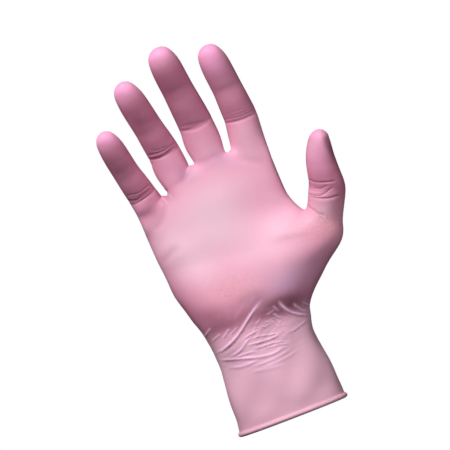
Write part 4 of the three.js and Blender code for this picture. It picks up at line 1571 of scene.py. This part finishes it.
@dataclass(frozen=True)
class Nitrile:
    """Pink nitrile film: smooth and half matt, paler where it is stretched thin, with painted light
    and painted shade in its tints and on its ridges and grooves.

    Attributes:
        name: The material's name.
        base: The film's own colour.
        layers: The tints, the first one lowest; the mauve, the dark mauve and the bright pink ones
            are painted shade and painted light, and the pale one is stretched film with painted
            light.
        groove: The painted shade in a groove and in the dips beside a ridge.
        groove_shade_share: How much of that painted shade shows.
        ridge: The painted highlight on a ridge.
        ridge_share: How much of that painted highlight shows.
        clouds: The wide clouds in the tints.
        marble: The pale marbling over everything.
        marble_share: How strong it is.
        fine: The fine grain of the film.
        specks: The specks in the peach tint.
        crushed: The grain of the crumpled film.
        speck_share: How strong the specks are.
        fine_share: How strong the fine grain is in the colour.
        fine_even: How much of the painted shade's colour is mixed in everywhere.
        stretch: The scale of the level streaks, for each metre along X, Y and Z.
        streaks: Their grain at that scale.
        heights: The bump's shares of the fine grain, the streaks and the crumpling.
        bump_strength: The bump's strength.
        bump_distance: The bump's height in metres.
        roughness: The film's roughness.
        roughness_shares: What the clouds, the fine grain and the crumpling add to it.
        specular: How strong its plain gloss is.
        coat: How strong its sheer upper gloss is, and how rough.
    """

    name: str = "nitrile_pink"
    base: tuple[float, ...] = linear(230, 158, 186)
    layers: tuple[Layer, ...] = (
        Layer(Tint.PAINTED_SHADE_AND_SPECKS, linear(188, 112, 140), 0.7, 0.5),
        Layer(Tint.LILAC, linear(206, 166, 204), 0.6, 0.7),
        Layer(Tint.PEACH, linear(236, 164, 176), 0.5, 0.8),
        Layer(Tint.PALE_AND_PAINTED_LIGHT, linear(250, 207, 224), 0.8, 0.4),
        Layer(Tint.PAINTED_LIGHT_ROSE, linear(250, 168, 211), 1.0, 0.0),
        Layer(Tint.THIN, linear(234, 208, 219), 0.8, 0.4),
        Layer(Tint.PAINTED_DARK_SHADE, linear(130, 80, 96), 0.75, 0.5),
    )
    groove: tuple[float, ...] = linear(168, 88, 116)
    groove_shade_share: float = 0.5
    ridge: tuple[float, ...] = linear(248, 200, 232)
    ridge_share: float = 0.9
    clouds: Grain = Grain(26.0, 4.0)
    marble: Grain = Grain(95.0, 5.0, 0.6)
    marble_share: float = 0.4
    fine: Grain = Grain(1500.0, 2.0)
    specks: Grain = Grain(1000.0, 3.0)
    crushed: Grain = Grain(170.0, 5.0, 0.65)
    speck_share: float = 2.6
    fine_share: float = 0.14
    fine_even: float = 0.06
    stretch: tuple[float, float, float] = (90.0, 90.0, 420.0)
    streaks: Grain = Grain(1.0, 3.0, 0.5)
    heights: tuple[float, float, float] = (0.012, 0.05, 0.7)
    bump_strength: float = 0.5
    bump_distance: float = 0.0012
    roughness: float = 0.54
    roughness_shares: tuple[float, float, float] = (0.12, 0.08, 0.08)
    specular: float = 0.28
    coat: tuple[float, float] = (0.04, 0.35)

    def material(self) -> bpy.types.Material:
        """Builds the material.

        Returns:
            The material.
        """
        material = bpy.data.materials.new(self.name)
        material.use_nodes = True
        tree = material.node_tree
        tree.nodes.clear()
        shader = Shader(material)
        place = shader.node("ShaderNodeTexCoord", {}, {}, "Object")

        def noise_of(grain: Grain, at: Wire) -> Wire:
            """Adds a grain's noise.

            Args:
                grain: The grain.
                at: Where it is read.

            Returns:
                The noise, from 0 to 1.
            """
            sockets = {"Vector": at, "Scale": grain.scale}
            sockets |= {"Detail": grain.detail, "Roughness": grain.rough}
            return shader.node("ShaderNodeTexNoise", {"noise_dimensions": "3D"}, sockets, "Fac")

        clouds, marble = noise_of(self.clouds, place), noise_of(self.marble, place)
        fine, specks = noise_of(self.fine, place), noise_of(self.specks, place)
        colour: Wire | tuple = self.base
        # The tints include painted shade and painted light.
        for layer in self.layers:
            amount = shader.value(layer.tint.value) * (layer.even + layer.cloudy * clouds)
            colour = shader.mix(amount, colour, layer.colour)
        # Painted shade in grooves and beside ridges, then painted highlight along the ridges.
        colour = shader.mix(shader.value("groove") * self.groove_shade_share, colour, self.groove)
        colour = shader.mix(shader.value("ridge") * self.ridge_share, colour, self.ridge)
        tints = {layer.tint: layer.colour for layer in self.layers}
        colour = shader.mix((marble - 0.5) * self.marble_share, colour, tints[Tint.PALE_AND_PAINTED_LIGHT])
        speckle = (specks - 0.5) * shader.value("peach") * self.speck_share
        speckle = speckle + (fine - 0.5) * self.fine_share + self.fine_even
        colour = shader.mix(speckle, colour, tints[Tint.PAINTED_SHADE_AND_SPECKS])

        stretched = shader.node(
            "ShaderNodeMapping", {"vector_type": "POINT"}, {"Vector": place, "Scale": self.stretch}
        )
        streaks = noise_of(self.streaks, stretched)
        crumple = shader.value("crumple")
        crushed = noise_of(self.crushed, place) * crumple
        of_fine, of_streaks, of_crushed = self.heights
        bump = shader.node(
            "ShaderNodeBump",
            {},
            {
                "Strength": self.bump_strength,
                "Distance": self.bump_distance,
                "Height": fine * of_fine + streaks * of_streaks + crushed * of_crushed,
            },
            "Normal",
        )
        by_clouds, by_fine, by_crumple = self.roughness_shares
        roughness = self.roughness + by_clouds * (clouds - 0.5) + by_fine * (fine - 0.5)
        roughness = roughness + by_crumple * crumple
        coat, coat_roughness = self.coat
        surface = shader.node(
            "ShaderNodeBsdfPrincipled",
            {},
            {
                "Base Color": colour,
                "Roughness": roughness,
                "Normal": bump,
                "Specular IOR Level": self.specular,
                "Coat Weight": coat,
                "Coat Roughness": coat_roughness,
            },
        )
        shader.node("ShaderNodeOutputMaterial", {}, {"Surface": surface})
        return material


# Studio


@dataclass(frozen=True)
class Lamp:
    """A soft lamp: its place, size in metres, power and colour, and whether gloss shows it."""

    name: str
    place: tuple[float, float, float]
    size: float
    power: float
    colour: tuple[float, float, float]
    shines: bool


@dataclass
class Studio:
    """Floor, backdrop, lamps and camera.

    Attributes:
        target: The middle of the view.
        far: How far the camera stands from it.
        lens: The camera's focal length in millimetres.
        sensor: Its sensor's width in millimetres.
        clip: The nearest and the farthest that it sees.
        up: The way that is up in the view, which leans to the thumb's side.
        floor_level: The floor's height.
        floor_size: The length of its sides.
        lamps: The lamps.
    """

    target: Vector = field(default_factory=lambda: Vector((0.0028, 0.0, 0.1264)))
    far: float = 4.0
    lens: float = 516.0
    sensor: float = 36.0
    clip: tuple[float, float] = (0.05, 50.0)
    up: Vector = field(default_factory=lambda: Vector((0.358, 0.0, 0.934)))
    floor_level: float = -0.06
    floor_size: float = 8.0
    lamps: tuple[Lamp, ...] = (
        Lamp("key", (-0.35, -0.85, 1.35), 0.6, 25.0, (1.0, 0.98, 0.97), True),
        Lamp("front", (0.0, -1.8, 0.2), 1.2, 9.0, (0.98, 0.97, 1.0), False),
        Lamp("thumb_side", (1.4, -0.7, 0.1), 0.9, 5.5, (1.0, 0.98, 0.98), False),
        Lamp("little_side", (-1.5, 0.3, 0.2), 0.9, 4.0, (1.0, 0.98, 0.99), False),
        Lamp("back", (0.2, 1.5, 0.6), 1.0, 18.0, (1.0, 0.99, 0.98), False),
    )

    def white(self) -> bpy.types.Material:
        """The plain white of the floor.

        Returns:
            The material.
        """
        material = bpy.data.materials.new("floor_white")
        material.use_nodes = True
        material.node_tree.nodes.clear()
        shader = Shader(material)
        glow = shader.node("ShaderNodeEmission", {}, {"Color": (1, 1, 1, 1), "Strength": 1.0})
        shader.node("ShaderNodeOutputMaterial", {}, {"Surface": glow})
        return material

    def floor(self) -> bpy.types.Object:
        """The floor, which only the camera sees.

        Returns:
            The floor's object.
        """
        half, z = self.floor_size / 2, self.floor_level
        corners = [(-half, -half, z), (half, -half, z), (half, half, z), (-half, half, z)]
        mesh = bpy.data.meshes.new("floor")
        mesh.from_pydata(corners, [], [(0, 1, 2, 3)])
        mesh.materials.append(self.white())
        floor = bpy.data.objects.new("floor", mesh)
        bpy.context.scene.collection.objects.link(floor)
        floor.visible_diffuse = floor.visible_glossy = floor.visible_shadow = False
        return floor

    def backdrop(self) -> None:
        """A white world, which only the camera sees."""
        world = bpy.data.worlds.new("white")
        world.use_nodes = True
        world.node_tree.nodes["Background"].inputs["Color"].default_value = (1, 1, 1, 1)
        bpy.context.scene.world = world
        world.cycles_visibility.diffuse = False
        world.cycles_visibility.glossy = False

    def light(self) -> None:
        """Sets up the lamps."""
        for lamp in self.lamps:
            data = bpy.data.lights.new(lamp.name, "AREA")
            data.shape, data.size = "DISK", lamp.size
            data.energy, data.color = lamp.power, lamp.colour
            item = bpy.data.objects.new(lamp.name, data)
            item.location = lamp.place
            item.visible_glossy = lamp.shines
            way = self.target - Vector(lamp.place)
            item.rotation_mode = "QUATERNION"
            item.rotation_quaternion = way.to_track_quat("-Z", "Y")
            bpy.context.scene.collection.objects.link(item)

    def camera(self) -> bpy.types.Object:
        """The camera, level with the palm and turned a little.

        Returns:
            The camera's object.
        """
        data = bpy.data.cameras.new("camera")
        data.lens, data.sensor_width = self.lens, self.sensor
        data.clip_start, data.clip_end = self.clip
        camera = bpy.data.objects.new("camera", data)
        ahead = Vector((0.0, 1.0, 0.0))
        up = self.up.normalized()
        right = ahead.cross(up)
        turn = Matrix((right, up, -ahead)).transposed()
        camera.matrix_world = Matrix.Translation(self.target - ahead * self.far) @ turn.to_4x4()
        bpy.context.scene.collection.objects.link(camera)
        bpy.context.scene.camera = camera
        return camera


def main() -> None:
    """Builds the glove and its studio, and reports each piece."""
    logging.basicConfig(level=logging.INFO, format="%(name)s: %(message)s")
    studio = Studio()
    studio.camera()
    film = Film()
    glove = film.build()
    glove.data.materials.append(Nitrile().material())
    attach(glove, "root")
    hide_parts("glove")
    triangles = sum(len(p.vertices) - 2 for p in glove.data.polygons)
    log.info("%s: %d triangles", glove.name, triangles)

    floor = studio.floor()
    studio.backdrop()
    studio.light()
    bpy.context.scene.view_settings.view_transform = "Standard"
    log.info("%s at %.3f m, %d lamps", floor.name, studio.floor_level, len(studio.lamps))


if __name__ == "__main__":
    main()
